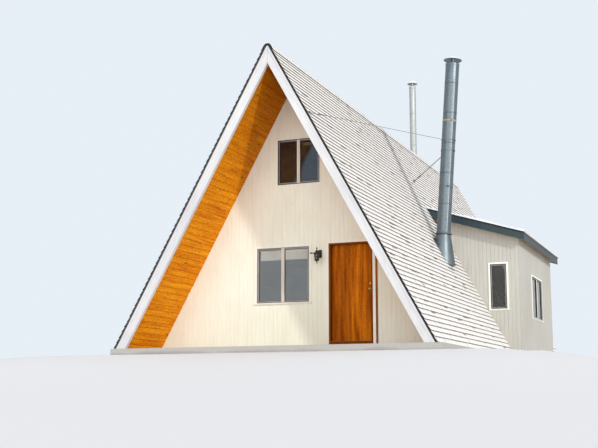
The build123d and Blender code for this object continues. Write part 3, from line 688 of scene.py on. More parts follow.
# The blind and the rolled shade glow a little: painted light behind the glass.
BLIND_PAINT = Paint("blind_slats", 0.5, color=rgb(240, 243, 246), faded=rgb(228, 232, 236),
                    dirt=rgb(170, 170, 168), dirty=0.15, painted_glow=0.85)
SHADE_CLOTH = Paint("rolled_shade", 0.8, color=rgb(240, 226, 178), faded=rgb(226, 208, 158),
                    dirt=rgb(140, 118, 84), dirty=0.3, painted_glow=0.2)
DARK_TRIM = Paint("bay_trim_paint", 0.45, color=rgb(16, 40, 45), faded=rgb(28, 54, 58), dirt=rgb(84, 86, 84),
                  dirty=0.2)
# The soffit's boards carry painted shade, growing darker towards the ridge.
SOFFIT_WOOD = Wood("soffit_boards", 0.6, light=rgb(255, 172, 16), dark=rgb(214, 112, 6), deep=rgb(92, 40, 8),
                   board=0.14, lay=Lay.SLOPE, speckle=0.85, joints=1.0, painted_shade=0.45)
DOOR_WOOD = Wood("door_stain", 0.6, light=rgb(226, 126, 8), dark=rgb(118, 46, 0), deep=rgb(54, 20, 2),
                 board=0.31, lay=Lay.UPRIGHT, spread_of_tone=0.5, knots=0.2, speckle=0.4)
JAMB_WOOD = Wood("door_jamb_wood", 0.7, light=rgb(146, 80, 14), dark=rgb(92, 42, 6), deep=rgb(46, 20, 4),
                 board=0.4, lay=Lay.UPRIGHT)
STRIP_WOOD = Wood("side_strip_wood", 0.7, light=rgb(168, 100, 30), dark=rgb(112, 60, 14),
                  deep=rgb(60, 30, 10), board=0.4, lay=Lay.UPRIGHT)
FLOOR_WOOD = Wood("floor_boards", 0.5, light=rgb(196, 150, 98), dark=rgb(150, 102, 58), deep=rgb(84, 50, 24),
                  board=0.12, lay=Lay.FLOOR)
ROUGH_WOOD = Wood("framing_timber", 0.8, light=rgb(206, 170, 122), dark=rgb(172, 130, 84),
                  deep=rgb(104, 66, 34), board=0.6, lay=Lay.SLOPE, joints=0.5)
BLACK_METAL = Metal("black_metal", 0.5, 0.0, color=rgb(12, 14, 16), second=rgb(20, 23, 26),
                    dust=rgb(70, 70, 70), dusty=0.1, grain=90.0)
LANTERN_METAL = Metal("lantern_metal", 0.5, 0.0, color=rgb(7, 7, 8), second=rgb(18, 18, 20), dusty=0.04,
                      grain=120.0)
FRAME_METAL = Metal("window_frame_bronze", 0.42, 0.3, color=rgb(44, 41, 38), second=rgb(58, 54, 50),
                    dusty=0.2, grain=150.0)
GREY_FRAME = Metal("window_frame_grey", 0.42, 0.3, color=rgb(118, 112, 104), second=rgb(140, 134, 126),
                   dusty=0.3, grain=150.0)
SASH_METAL = Metal("sash_aluminium", 0.36, 0.6, color=rgb(134, 132, 128), second=rgb(160, 158, 154),
                   dusty=0.3, grain=150.0)
GALVANISED = Metal("galvanised_steel", 0.33, 0.85, color=rgb(92, 103, 110), second=rgb(114, 126, 132),
                   dust=rgb(142, 146, 142), dusty=0.3, grain=60.0)
PALE_STEEL = Metal("weathered_pale_steel", 0.42, 0.6, color=rgb(160, 164, 163), second=rgb(182, 186, 184),
                   dust=rgb(196, 194, 188), dusty=0.35, grain=42.0)
TAN_BAND = Metal("tan_band", 0.45, 0.4, color=rgb(150, 138, 104), second=rgb(172, 158, 124),
                 dusty=0.3, grain=80.0)
BRASS = Metal("aged_brass", 0.26, 1.0, color=rgb(190, 146, 74), second=rgb(214, 174, 104),
              dust=rgb(110, 84, 52), dusty=0.2, grain=200.0)
STEEL = Metal("stay_steel", 0.36, 0.8, color=rgb(92, 96, 102), second=rgb(120, 124, 130),
              dusty=0.2, grain=300.0)
RUBBER = Metal("black_gasket", 0.7, 0.0, color=rgb(16, 16, 16), second=rgb(26, 26, 26),
               dusty=0.1, grain=400.0)
SHINGLE = SnowyShingle("snowy_shingles", 0.9, stone=rgb(126, 111, 99), pale=rgb(180, 164, 150))
SNOW = Snow("lying_snow", 0.75)
CONCRETE = Concrete("cast_concrete", 0.9)
WINDOW_GLASS = Glass("pane_glass", 0.02, tint=rgb(150, 136, 118), loft_shade_tint=rgb(124, 138, 152), bend=1.72,
                     tilt=0.098, sheen=(0.8, 0.9, 0.95))
LANTERN_GLASS = Glass("lantern_pane_glass", 0.05, tint=rgb(150, 142, 128), loft_shade_tint=rgb(150, 142, 128))
WAX = Paint("candle_sleeve", 0.5, color=rgb(226, 212, 178), faded=rgb(206, 190, 156), dirty=0.1)


# Making pieces


def own_object(name: str, data: bpy.types.ID) -> bpy.types.Object:
    """Puts a mesh, a lamp or a camera in the scene.

    Args:
        name: The object's name.
        data: Its data, a mesh already in place.

    Returns:
        The new object.
    """
    made = bpy.data.objects.new(name, data)
    bpy.context.collection.objects.link(made)
    return made


def settle(piece: MeshObject, body: str, replaced: Sequence[str]) -> MeshObject:
    """Says what a piece rides on and which nodes it stands for.

    Args:
        piece: The piece.
        body: The body that it moves with.
        replaced: CAD nodes that it stands for.

    Returns:
        The same piece.
    """
    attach(piece, body)
    if replaced:
        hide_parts(*replaced)
    return piece


def poly_mesh(name: str, verts: Sequence[Sequence[float]], faces: Sequence[Sequence[int]]) -> Mesh:
    """A mesh from its corners and faces, with its faces turned outwards.

    Args:
        name: The mesh's name.
        verts: Corners in metres.
        faces: Corner numbers of each face.

    Returns:
        The mesh.
    """
    mesh = bpy.data.meshes.new(name)
    mesh.from_pydata([tuple(vert) for vert in verts], [], faces)
    form = bmesh.new()
    form.from_mesh(mesh)
    bmesh.ops.recalc_face_normals(form, faces=form.faces)
    form.to_mesh(mesh)
    form.free()
    return mesh


class Along(Enum):
    """Which way a bar runs. The two axes that its outline is drawn on come first."""

    X = ((0, 1, 0), (0, 0, 1), (1, 0, 0))
    Y = ((1, 0, 0), (0, 0, 1), (0, 1, 0))
    Z = ((1, 0, 0), (0, 1, 0), (0, 0, 1))


def bar(outline: Outline, start: float, end: float, along: Along = Along.Y
        ) -> Mesh:
    """A bar with the same outline all along.

    Args:
        outline: Corners of the outline, in order.
        start: Where the bar starts.
        end: Where it ends.
        along: Which way it runs.

    Returns:
        The mesh.
    """
    first, second, run = (Vector(axis) for axis in along.value)
    count = len(outline)
    verts = [first * a + second * b + run * place for place in (start, end) for a, b in outline]
    faces = [tuple(range(count)), tuple(reversed(range(count, 2 * count)))]
    faces += [(i, (i + 1) % count, (i + 1) % count + count, i + count) for i in range(count)]
    return poly_mesh("bar", verts, faces)


def block(low: Point, high: Point) -> Mesh:
    """A squared piece between its lowest and highest corners."""
    return bar([(low[0], low[2]), (high[0], low[2]), (high[0], high[2]), (low[0], high[2])], low[1], high[1])


def eased(mesh: Mesh, width: float, steps: int = 2) -> Mesh:
    """Rounds a mesh's sharp edges a little, as planed timber and pressed metal have them.

    Args:
        mesh: The mesh to work on.
        width: How wide the rounding is.
        steps: How many faces round it.

    Returns:
        The same mesh.
    """
    form = bmesh.new()
    form.from_mesh(mesh)
    sharp = [edge for edge in form.edges if edge.is_manifold and edge.calc_face_angle() > math.radians(30)]
    bmesh.ops.bevel(form, geom=sharp, offset=width, segments=steps, profile=0.5, affect="EDGES",
                    clamp_overlap=True)
    form.to_mesh(mesh)
    form.free()
    return mesh


def mitred(width: float, height: float, profile: Outline) -> Mesh:
    """A rectangular frame with mitred corners, round the origin in X and Z, facing -Y.

    Args:
        width: Outer width.
        height: Outer height.
        profile: Closed section, each corner an inset from the outer edge and how far out it stands.

    Returns:
        The mesh.
    """
    verts: list[Point] = []
    for inset, out in profile:
        x, z = width / 2 - inset, height / 2 - inset
        verts += [(-x, -out, -z), (x, -out, -z), (x, -out, z), (-x, -out, z)]
    count = len(profile)
    faces = [(4 * i + side, 4 * i + (side + 1) % 4, 4 * ((i + 1) % count) + (side + 1) % 4,
              4 * ((i + 1) % count) + side) for i in range(count) for side in range(4)]
    return poly_mesh("frame", verts, faces)


def turned(outline: Outline, sides: int, smooth: bool = True, hollow: bool = False
           ) -> Mesh:
    """A turned form round Z, closed at its poles.

    Args:
        outline: Radius and height of each ring, from one end to the other. A radius of 0 is a pole.
        sides: How many sides it has.
        smooth: Whether it is shaded smooth.
        hollow: Whether the outline is the closed section of a hoop.

    Returns:
        The mesh.
    """
    verts: list[Point] = []
    rings: list[list[int]] = []
    for radius, height in outline:
        if radius == 0:
            rings.append([len(verts)] * sides)
            verts.append((0.0, 0.0, height))
            continue
        rings.append(list(range(len(verts), len(verts) + sides)))
        verts += [(radius * math.cos(turn), radius * math.sin(turn), height)
                  for turn in (2 * math.pi * i / sides for i in range(sides))]
    faces: list[tuple[int, ...]] = []
    for low, high in zip(rings, rings[1:] + rings[:1] if hollow else rings[1:]):
        for i in range(sides):
            corners = (low[i], low[(i + 1) % sides], high[(i + 1) % sides], high[i])
            face = tuple(dict.fromkeys(corners))
            if len(face) > 2:
                faces.append(face)
    if not hollow:
        ends = ((rings[0], outline[0]), (rings[-1], outline[-1]))
        faces += [tuple(ring) for ring, (radius, _) in ends if radius > 0]
    mesh = poly_mesh("turned", verts, faces)
    if smooth:
        mesh.shade_smooth()
        mesh.set_sharp_from_angle(angle=math.radians(38))
    return mesh


def rod(path: Sequence[Sequence[float]], radii: Sequence[float], sides: int = 12) -> Mesh:
    """A bent rod along a line of points, closed at both ends.

    Args:
        path: Points along its middle.
        radii: Its radius at each point.
        sides: How many sides it has.

    Returns:
        The mesh.
    """
    points = [Vector(point) for point in path]
    last = len(points) - 1
    side = (points[1] - points[0]).orthogonal()
    verts: list[Vector] = []
    for i, (point, radius) in enumerate(zip(points, radii)):
        ahead = (points[min(i + 1, last)] - points[max(i - 1, 0)]).normalized()
        side = (side - ahead * side.dot(ahead)).normalized()
        other = ahead.cross(side)
        verts += [point + (side * math.cos(turn) + other * math.sin(turn)) * radius
                  for turn in (2 * math.pi * step / sides for step in range(sides))]
    faces: list[tuple[int, ...]] = [tuple(range(sides)), tuple(range(last * sides, (last + 1) * sides))]
    for base in range(0, last * sides, sides):
        faces += [(base + j, base + (j + 1) % sides, base + sides + (j + 1) % sides, base + sides + j)
                  for j in range(sides)]
    mesh = poly_mesh("rod", verts, faces)
    mesh.shade_smooth()
    mesh.set_sharp_from_angle(angle=math.radians(50))
    return mesh


def moved(mesh: Mesh, turn: Matrix) -> Mesh:
    """The same mesh after a turn or a shift."""
    mesh.transform(turn)
    return mesh


def shift(x: float, y: float, z: float) -> Matrix:
    """A move in metres."""
    return Matrix.Translation((x, y, z))


def turn_about(axis: str, degrees: float) -> Matrix:
    """A turn about one axis through the origin."""
    return Matrix.Rotation(math.radians(degrees), 4, axis)


def joined(name: str, parts: Sequence[Mesh]) -> Mesh:
    """Joins meshes into one, and takes them out.

    Args:
        name: Name of the joined mesh.
        parts: The meshes.

    Returns:
        The joined mesh.
    """
    form = bmesh.new()
    for part in parts:
        form.from_mesh(part)
        bpy.data.meshes.remove(part)
    mesh = bpy.data.meshes.new(name)
    form.to_mesh(mesh)
    form.free()
    return mesh


def place(name: str, parts: Sequence[Mesh], finish: Finish, slot: str, turn: Matrix | None = None,
          replaced: Sequence[str] = (), body: str = "house") -> MeshObject:
    """Joins meshes into one piece in its place.

    Args:
        name: The piece's name.
        parts: Its meshes.
        finish: Its finish.
        slot: The record's material slot; not used.
        turn: Where it goes in the cabin's frame.
        replaced: CAD nodes that it stands for.
        body: The body that it moves with.

    Returns:
        The piece.
    """
    mesh = joined(name, parts)
    if turn is not None:
        mesh.transform(turn)
    mesh.materials.append(finish.material())
    return settle(own_object(name, mesh), body, replaced)


def merged_copy(node: str) -> Mesh:
    """A copy of a CAD node's mesh with its doubled corners merged and its flat faces joined.

    Args:
        node: The CAD node's name.

    Returns:
        The clean copy.
    """
    form = bmesh.new()
    form.from_mesh(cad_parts[node].data)
    bmesh.ops.remove_doubles(form, verts=form.verts, dist=1e-5)
    bmesh.ops.dissolve_limit(form, angle_limit=math.radians(0.5), verts=form.verts, edges=form.edges)
    mesh = bpy.data.meshes.new(node + "_copy")
    form.to_mesh(mesh)
    form.free()
    return mesh


class Maker:
    """A geometry tree with named inputs, run into plain meshes."""

    GEOMETRY = "NodeSocketGeometry"
    KINDS = {int: "NodeSocketInt", float: "NodeSocketFloat", tuple: "NodeSocketVector",
             type(None): "NodeSocketObject"}

    def __init__(self, name: str, **inputs: object) -> None:
        """Opens the tree.

        Args:
            name: The tree's name.
            **inputs: Default of each input, by name with underscores for spaces. None means an object.
        """
        tree = bpy.data.node_groups.new(name, "GeometryNodeTree")
        tree.interface.new_socket(name="Geometry", in_out="INPUT", socket_type=self.GEOMETRY)
        tree.interface.new_socket(name="Finish", in_out="INPUT", socket_type="NodeSocketMaterial")
        for label, default in inputs.items():
            socket = tree.interface.new_socket(name=label.replace("_", " "), in_out="INPUT",
                                               socket_type=self.KINDS[type(default)])
            if default is not None:
                socket.default_value = default
        tree.interface.new_socket(name="Geometry", in_out="OUTPUT", socket_type=self.GEOMETRY)
        self.graph = Graph(tree)
        self.given = self.graph.node("NodeGroupInput").outputs
        self.out = self.graph.node("NodeGroupOutput")

    def line(self, count: object, start: object = (0.0, 0.0, 0.0), step: object = (0.0, 0.0, 0.0)) -> Socket:
        """Points in a line, from the first one's place and the step between them."""
        inputs = {"Count": count, "Start Location": start, "Offset": step}
        return self.graph.fed("GeometryNodeMeshLine", inputs, mode="OFFSET").outputs["Mesh"]

    def placed(self, points: Socket, how: str, value: Socket) -> Socket:
        """Points put in a new position, or moved by an offset."""
        return self.graph.fed("GeometryNodeSetPosition", {"Geometry": points, how: value}).outputs["Geometry"]

    def copies(self, points: Socket, label: str, **inputs: object) -> Socket:
        """Copies on points of the helper object that an input gives.

        Args:
            points: Where they go.
            label: The input's name.
            **inputs: More inputs of the node that copies.

        Returns:
            The copies' socket.
        """
        piece = self.graph.fed("GeometryNodeObjectInfo", {"Object": self.given[label]},
                               transform_space="ORIGINAL").outputs["Geometry"]
        inputs |= {"Points": points, "Instance": piece}
        return self.graph.fed("GeometryNodeInstanceOnPoints", inputs).outputs["Instances"]

    def real(self, geometry: Socket) -> Socket:
        """Instances turned into real geometry."""
        return self.graph.fed("GeometryNodeRealizeInstances", {"Geometry": geometry}).outputs["Geometry"]

    def close(self, geometry: Socket) -> None:
        """Ends the tree: instances become real, and take the finish."""
        inputs = {"Geometry": self.real(geometry), "Material": self.given["Finish"]}
        self.graph.put(self.out.inputs["Geometry"],
                       self.graph.fed("GeometryNodeSetMaterial", inputs).outputs["Geometry"])

    def run(self, name: str, finish: Finish, slot: str, start: Mesh | None = None,
            turn: Matrix | None = None, replaced: Sequence[str] = (), body: str = "house",
            **values: object) -> MeshObject:
        """Runs the tree once, and takes its helper objects out again.

        Args:
            name: The piece's name.
            finish: Its finish.
            slot: The record's material slot; not used.
            start: Mesh that the tree works on, if any.
            turn: Where the result goes in the cabin's frame.
            replaced: CAD nodes that the piece stands for.
            body: The body that it moves with.
            **values: The tree's inputs, by name with underscores for spaces. A mesh becomes a helper object.

        Returns:
            The piece, a plain mesh at the origin.
        """
        host = own_object(name, start or bpy.data.meshes.new(name))
        modifier = host.modifiers.new("maker", "NODES")
        modifier.node_group = self.graph.tree
        wanted = {key.replace("_", " "): value for key, value in values.items()}
        wanted["Finish"] = finish.material()
        helpers = []
        for key, value in wanted.items():
            if isinstance(value, Mesh):
                wanted[key] = own_object("helper", value)
                helpers.append(wanted[key])
        for item in self.graph.tree.interface.items_tree:
            if item.item_type == "SOCKET" and item.in_out == "INPUT" and item.name in wanted:
                modifier[item.identifier] = wanted[item.name]
        graph = bpy.context.evaluated_depsgraph_get()
        mesh = bpy.data.meshes.new_from_object(host.evaluated_get(graph), preserve_all_data_layers=True,
                                               depsgraph=graph)
        host.modifiers.remove(modifier)
        mesh.name = name
        if turn is not None:
            mesh.transform(turn)
        host.data = mesh
        for helper in helpers:
            shape = helper.data
            bpy.data.objects.remove(helper)
            bpy.data.meshes.remove(shape)
        return settle(host, body, replaced)


class RowMaker(Maker):
    """Pieces side by side in rows, like shingle tabs, each row cut off at both ends."""

    SHORTEST = 0.02
    TONE_SEED = 7.0

    def __init__(self) -> None:
        """Builds the tree. X runs from row to row, Y along a row, and Z outwards."""
        super().__init__("rows_of_tabs", Tab=None, Rows=1, Columns=1, First_Row=0.0, Row_Pitch=0.125,
                         Tab_Pitch=0.3, Gap=0.006, Stagger=0.37, Origin=0.0, Start=0.0, End=1.0, Slip=0.004,
                         Lift=0.002, Seed=1)
        graph, given = self.graph, self.given
        index = graph.node("GeometryNodeInputIndex").outputs[0]
        row = graph.math("FLOOR", graph.math("DIVIDE", graph.plus(index, 0.5), given["Columns"]))
        column = graph.minus(index, graph.times(row, given["Columns"]))
        stagger = graph.math("FRACT", graph.times(row, given["Stagger"]))
        begin = graph.times(graph.minus(graph.plus(column, stagger), 1.0), given["Tab Pitch"])
        begin = graph.plus(begin, given["Origin"])
        finish_at = graph.plus(begin, graph.minus(given["Tab Pitch"], given["Gap"]))
        low = graph.math("MAXIMUM", begin, given["Start"])
        length = graph.minus(graph.math("MINIMUM", finish_at, given["End"]), low)
        jitter = graph.fed("FunctionNodeRandomValue", {"Seed": given["Seed"]}, data_type="FLOAT_VECTOR")
        slip, _, lift = graph.split(jitter.outputs[0])[:3]
        across = graph.minus(given["First Row"], graph.times(row, given["Row Pitch"]))
        across = graph.plus(across, graph.times(slip, given["Slip"]))
        spots = self.placed(self.line(graph.times(given["Rows"], given["Columns"])), "Position",
                            graph.join(across, low, graph.times(lift, given["Lift"])))
        tabs = self.copies(spots, "Tab", Selection=graph.math("GREATER_THAN", length, self.SHORTEST),
                           Scale=graph.join(1.0, length, 1.0))
        tone = graph.fed("FunctionNodeRandomValue", {"Seed": graph.plus(given["Seed"], self.TONE_SEED)},
                         data_type="FLOAT")
        toned = graph.fed("GeometryNodeStoreNamedAttribute",
                          {"Geometry": tabs, "Name": "tone", "Value": tone.outputs[1]},
                          data_type="FLOAT", domain="INSTANCE")
        self.close(toned.outputs["Geometry"])


class GrooveMaker(Maker):
    """Cuts evenly spaced grooves into a solid, like the joints of boards."""

    def __init__(self) -> None:
        """Builds the tree."""
        super().__init__("cut_grooves", Groove=None, Count=1, Start=(0.0, 0.0, 0.0), Step=(0.1, 0.0, 0.0))
        given = self.given
        grooves = self.copies(self.line(given["Count"], given["Start"], given["Step"]), "Groove")
        inputs = {"Mesh 1": given["Geometry"], "Mesh 2": self.real(grooves)}
        cut = self.graph.fed("GeometryNodeMeshBoolean", inputs, operation="DIFFERENCE", solver="EXACT")
        self.close(cut.outputs["Mesh"])


class LineMaker(Maker):
    """Copies of one piece in a line, like slats, hinges or nails."""

    def __init__(self) -> None:
        """Builds the tree."""
        super().__init__("pieces_in_line", Piece=None, Count=1, Start=(0.0, 0.0, 0.0),
                         Step=(0.0, 0.0, 0.1), Wobble=0.0, Seed=1)
        graph, given = self.graph, self.given
        jitter = graph.fed("FunctionNodeRandomValue",
                           {0: (-1.0, -1.0, -1.0), 1: (1.0, 1.0, 1.0), "Seed": given["Seed"]},
                           data_type="FLOAT_VECTOR")
        wobble = graph.fed("ShaderNodeVectorMath", {0: jitter.outputs[0], "Scale": given["Wobble"]},
                           operation="SCALE")
        spots = self.line(given["Count"], given["Start"], given["Step"])
        self.close(self.copies(self.placed(spots, "Offset", wobble.outputs[0]), "Piece"))


class RingMaker(Maker):
    """Copies of one piece round an axis, like bars, straps or beads."""

    def __init__(self) -> None:
        """Builds the tree. Each copy faces outwards along its own X."""
        super().__init__("pieces_in_ring", Piece=None, Count=6, Radius=0.1, Height=0.0, First_Angle=0.0)
        graph, given = self.graph, self.given
        share = graph.math("DIVIDE", graph.node("GeometryNodeInputIndex").outputs[0], given["Count"])
        angle = graph.plus(graph.times(share, 2 * math.pi), given["First Angle"])
        spot = graph.join(graph.times(graph.math("COSINE", angle), given["Radius"]),
                          graph.times(graph.math("SINE", angle), given["Radius"]), given["Height"])
        facing = graph.fed("FunctionNodeEulerToRotation", {0: graph.join(0.0, 0.0, angle)})
        spots = self.placed(self.line(given["Count"]), "Position", spot)
        self.close(self.copies(spots, "Piece", Rotation=facing.outputs[0]))


ROWS = RowMaker()
GROOVES = GrooveMaker()
LINES = LineMaker()
RINGS = RingMaker()


# Studio


@dataclass(frozen=True)
class Lamp:
    """A sun lamp.

    Attributes:
        name: Its name.
        energy: Its strength.
        width: How wide it stands in the sky, in degrees.
        turn: Which way it shines, in degrees from the cabin's length.
        tilt: How far it stands from overhead, in degrees.
        color: Its colour.
    """

    name: str
    energy: float
    width: float
    turn: float
    tilt: float
    color: Color = WHITE

    def build(self) -> None:
        """Hangs the lamp."""
        data = bpy.data.lights.new(self.name, "SUN")
        data.energy = self.energy
        data.angle = math.radians(self.width)
        data.color = self.color
        own_object(self.name, data).rotation_euler = (math.radians(self.tilt), 0.0, math.radians(self.turn))


@dataclass
class Studio:
    """Floor, light and camera.

    Attributes:
        eye: Where the camera stands.
        turned: How far it looks to the left of the cabin's length, in degrees.
        raised: How far it looks up, in degrees.
        lens: Focal length on the sensor's width, in millimetres.
        sensor: Sensor width in millimetres.
        floor_margin: How far the level floor runs round the cabin.
        floor_fall: How far the ground falls beyond it.
        floor_reach: How far it runs.
        floor_steps: Rows of its mesh from the cabin outwards.
        floor_color: Its colour.
        sky_color: Colour of the light from the sky.
        sky_strength: How strong that light is.
        seen_sky: Colour of the sky as it is seen and mirrored.
        lamps: A low key from the front right, which reaches under the left eaves, and a broad fill.
    """

    eye: Point = (8.616, -27.102, -0.889)
    turned: float = 22.39
    raised: float = 9.41
    lens: float = 63.51
    sensor: float = 36.0
    floor_margin: float = 0.45
    floor_fall: float = 0.142
    floor_reach: float = 90.0
    floor_steps: int = 24
    floor_color: Color = (0.80, 0.80, 0.81)
    sky_color: Color = (0.80, 0.83, 0.87)
    sky_strength: float = 0.8
    seen_sky: Color = (0.80, 0.86, 0.93)
    lamps: tuple[Lamp, ...] = (
        Lamp("key_lamp", energy=1.75, width=3.0, turn=56.0, tilt=67.0, color=(1.0, 0.98, 0.94)),
        Lamp("fill_lamp", energy=1.15, width=60.0, turn=5.0, tilt=82.0),
    )

    def build(self) -> None:
        """Sets up floor, sky, lamps and camera."""
        self._view_settings()
        self._floor()
        self._world()
        for lamp in self.lamps:
            lamp.build()
        self._camera()

    def _view_settings(self) -> None:
        """Colours show as they are written."""
        bpy.context.scene.view_settings.view_transform = "Standard"

    def _height(self, x: float, y: float) -> float:
        """Height of the ground, level round the cabin and falling gently beyond.

        Args:
            x: Place across.
            y: Place along.

        Returns:
            The height there.
        """
        low, high = CAD_BOUNDS
        beyond = max(low[0] - x, x - high[0], low[1] - y, y - high[1], 0.0) - self.floor_margin
        if beyond <= 0:
            return 0.0
        return -self.floor_fall * beyond * min(1.0, 0.35 + beyond / 6.0)

    def _floor(self) -> None:
        """A pale sheet of ground, level where the cabin stands."""
        low, high = CAD_BOUNDS
        half = self.floor_reach
        step_out = [half * (index / self.floor_steps) ** 2 for index in range(1, self.floor_steps + 1)]

        def lines(start: float, end: float) -> list[float]:
            """Grid lines, close together near the cabin and far apart beyond."""
            before = [start - step for step in reversed(step_out)]
            return [*before, start, end, *(end + step for step in step_out)]

        xs = lines(low[0] - self.floor_margin, high[0] + self.floor_margin)
        ys = lines(low[1] - self.floor_margin, high[1] + self.floor_margin)
        verts = [(x, y, self._height(x, y)) for y in ys for x in xs]
        wide = len(xs)
        faces = [(row * wide + col, row * wide + col + 1, (row + 1) * wide + col + 1, (row + 1) * wide + col)
                 for row in range(len(ys) - 1) for col in range(wide - 1)]
        mesh = bpy.data.meshes.new("studio_floor")
        mesh.from_pydata(verts, [], faces)
        mesh.shade_smooth()
        floor = own_object("studio_floor", mesh)
        material = bpy.data.materials.new("studio_floor")
        material.use_nodes = True
        shader = material.node_tree.nodes["Principled BSDF"]
        shader.inputs["Base Color"].default_value = (*self.floor_color, 1.0)
        shader.inputs["Roughness"].default_value = 0.9
        mesh.materials.append(material)

    def _world(self) -> None:
        """An even pale sky, a little blue, which also lights the shade."""
        world = bpy.data.worlds.new("studio_sky")
        bpy.context.scene.world = world
        world.use_nodes = True
        graph = Graph(world.node_tree)
        light = world.node_tree.nodes["Background"]
        light.inputs["Color"].default_value = (*self.sky_color, 1.0)
        light.inputs["Strength"].default_value = self.sky_strength
        seen = graph.fed("ShaderNodeBackground", {"Color": self.seen_sky, "Strength": 1.0})
        path = graph.node("ShaderNodeLightPath")
        through = graph.math("MAXIMUM", path.outputs["Is Glossy Ray"], path.outputs["Is Transmission Ray"])
        shown = graph.math("MAXIMUM", path.outputs["Is Camera Ray"], through)
        both = graph.fed("ShaderNodeMixShader", {0: shown, 1: light.outputs[0], 2: seen.outputs[0]})
        graph.put(world.node_tree.nodes["World Output"].inputs["Surface"], both.outputs[0])

    def _camera(self) -> None:
        """The camera, where the photograph was taken from."""
        data = bpy.data.cameras.new("camera")
        data.sensor_width = self.sensor
        data.lens = self.lens
        data.clip_end = 400.0
        camera = own_object("camera", data)
        camera.location = self.eye
        camera.rotation_euler = (math.radians(90 + self.raised), 0.0, math.radians(self.turned))
        bpy.context.scene.camera = camera


# Cabin


@dataclass
class RoofShape:
    """Sizes of the main roof that several pieces share.

    Attributes:
        ground: Height that the slopes start from.
        front: Front end of the slopes along Y.
        back: Rear end.
        exposure: Visible run of one course.
        stack: Depth of the shingles under the roof's face.
        cap_run: Run from the ridge where the courses start.
        course_least: Shortest run that still gets a course.
    """

    ground: float = 0.15
    front: float = -7.934
    back: float = 7.934
    exposure: float = 0.125
    stack: float = 0.032
    cap_run: float = 0.1515
    course_least: float = 0.06

    @property
    def ridge(self) -> float:
        """Height where the two faces would meet."""
        return RIDGE_HEIGHT

    @property
    def eave_run(self) -> float:
        """Run from the ridge to the lowest butt."""
        return (self.ridge - self.ground) / math.sin(ROOF_PITCH) - self.stack / math.tan(ROOF_PITCH)

    def courses(self, least_run: float) -> int:
        """How many courses lie below a run from the ridge."""
        return int((self.eave_run - least_run - self.course_least) / self.exposure) + 1

    def right(self) -> Matrix:
        """Turns X down the right slope, from the ridge."""
        return Matrix.Translation((0, 0, self.ridge)) @ Matrix.Rotation(ROOF_PITCH, 4, "Y")

    def left(self) -> Matrix:
        """Turns X down the left slope, with Y running forwards."""
        return (Matrix.Translation((0, 0, self.ridge)) @ Matrix.Rotation(math.pi, 4, "Z")
                @ Matrix.Rotation(ROOF_PITCH, 4, "Y"))


@dataclass
class BayShape:
    """Sizes of the bay that several pieces share.

    Attributes:
        pitch: Pitch of its roof, in degrees.
        peak: Where its roof meets the main roof, in X and Z.
        ends: Ends of its roof along Y.
        eave: Its eave along X.
        walls: Its front and rear faces along Y.
        side: Its side face along X.
        soffit: Height where tabs beside it stop, under its eave.
    """

    pitch: float = 17.0
    peak: tuple[float, float] = (1.3563, 4.030)
    ends: tuple[float, float] = (-0.714, 4.694)
    eave: float = 3.869
    walls: tuple[float, float] = (-0.45, 4.43)
    side: float = 3.67
    soffit: float = 3.74


ROOF = RoofShape()
BAY = BayShape()


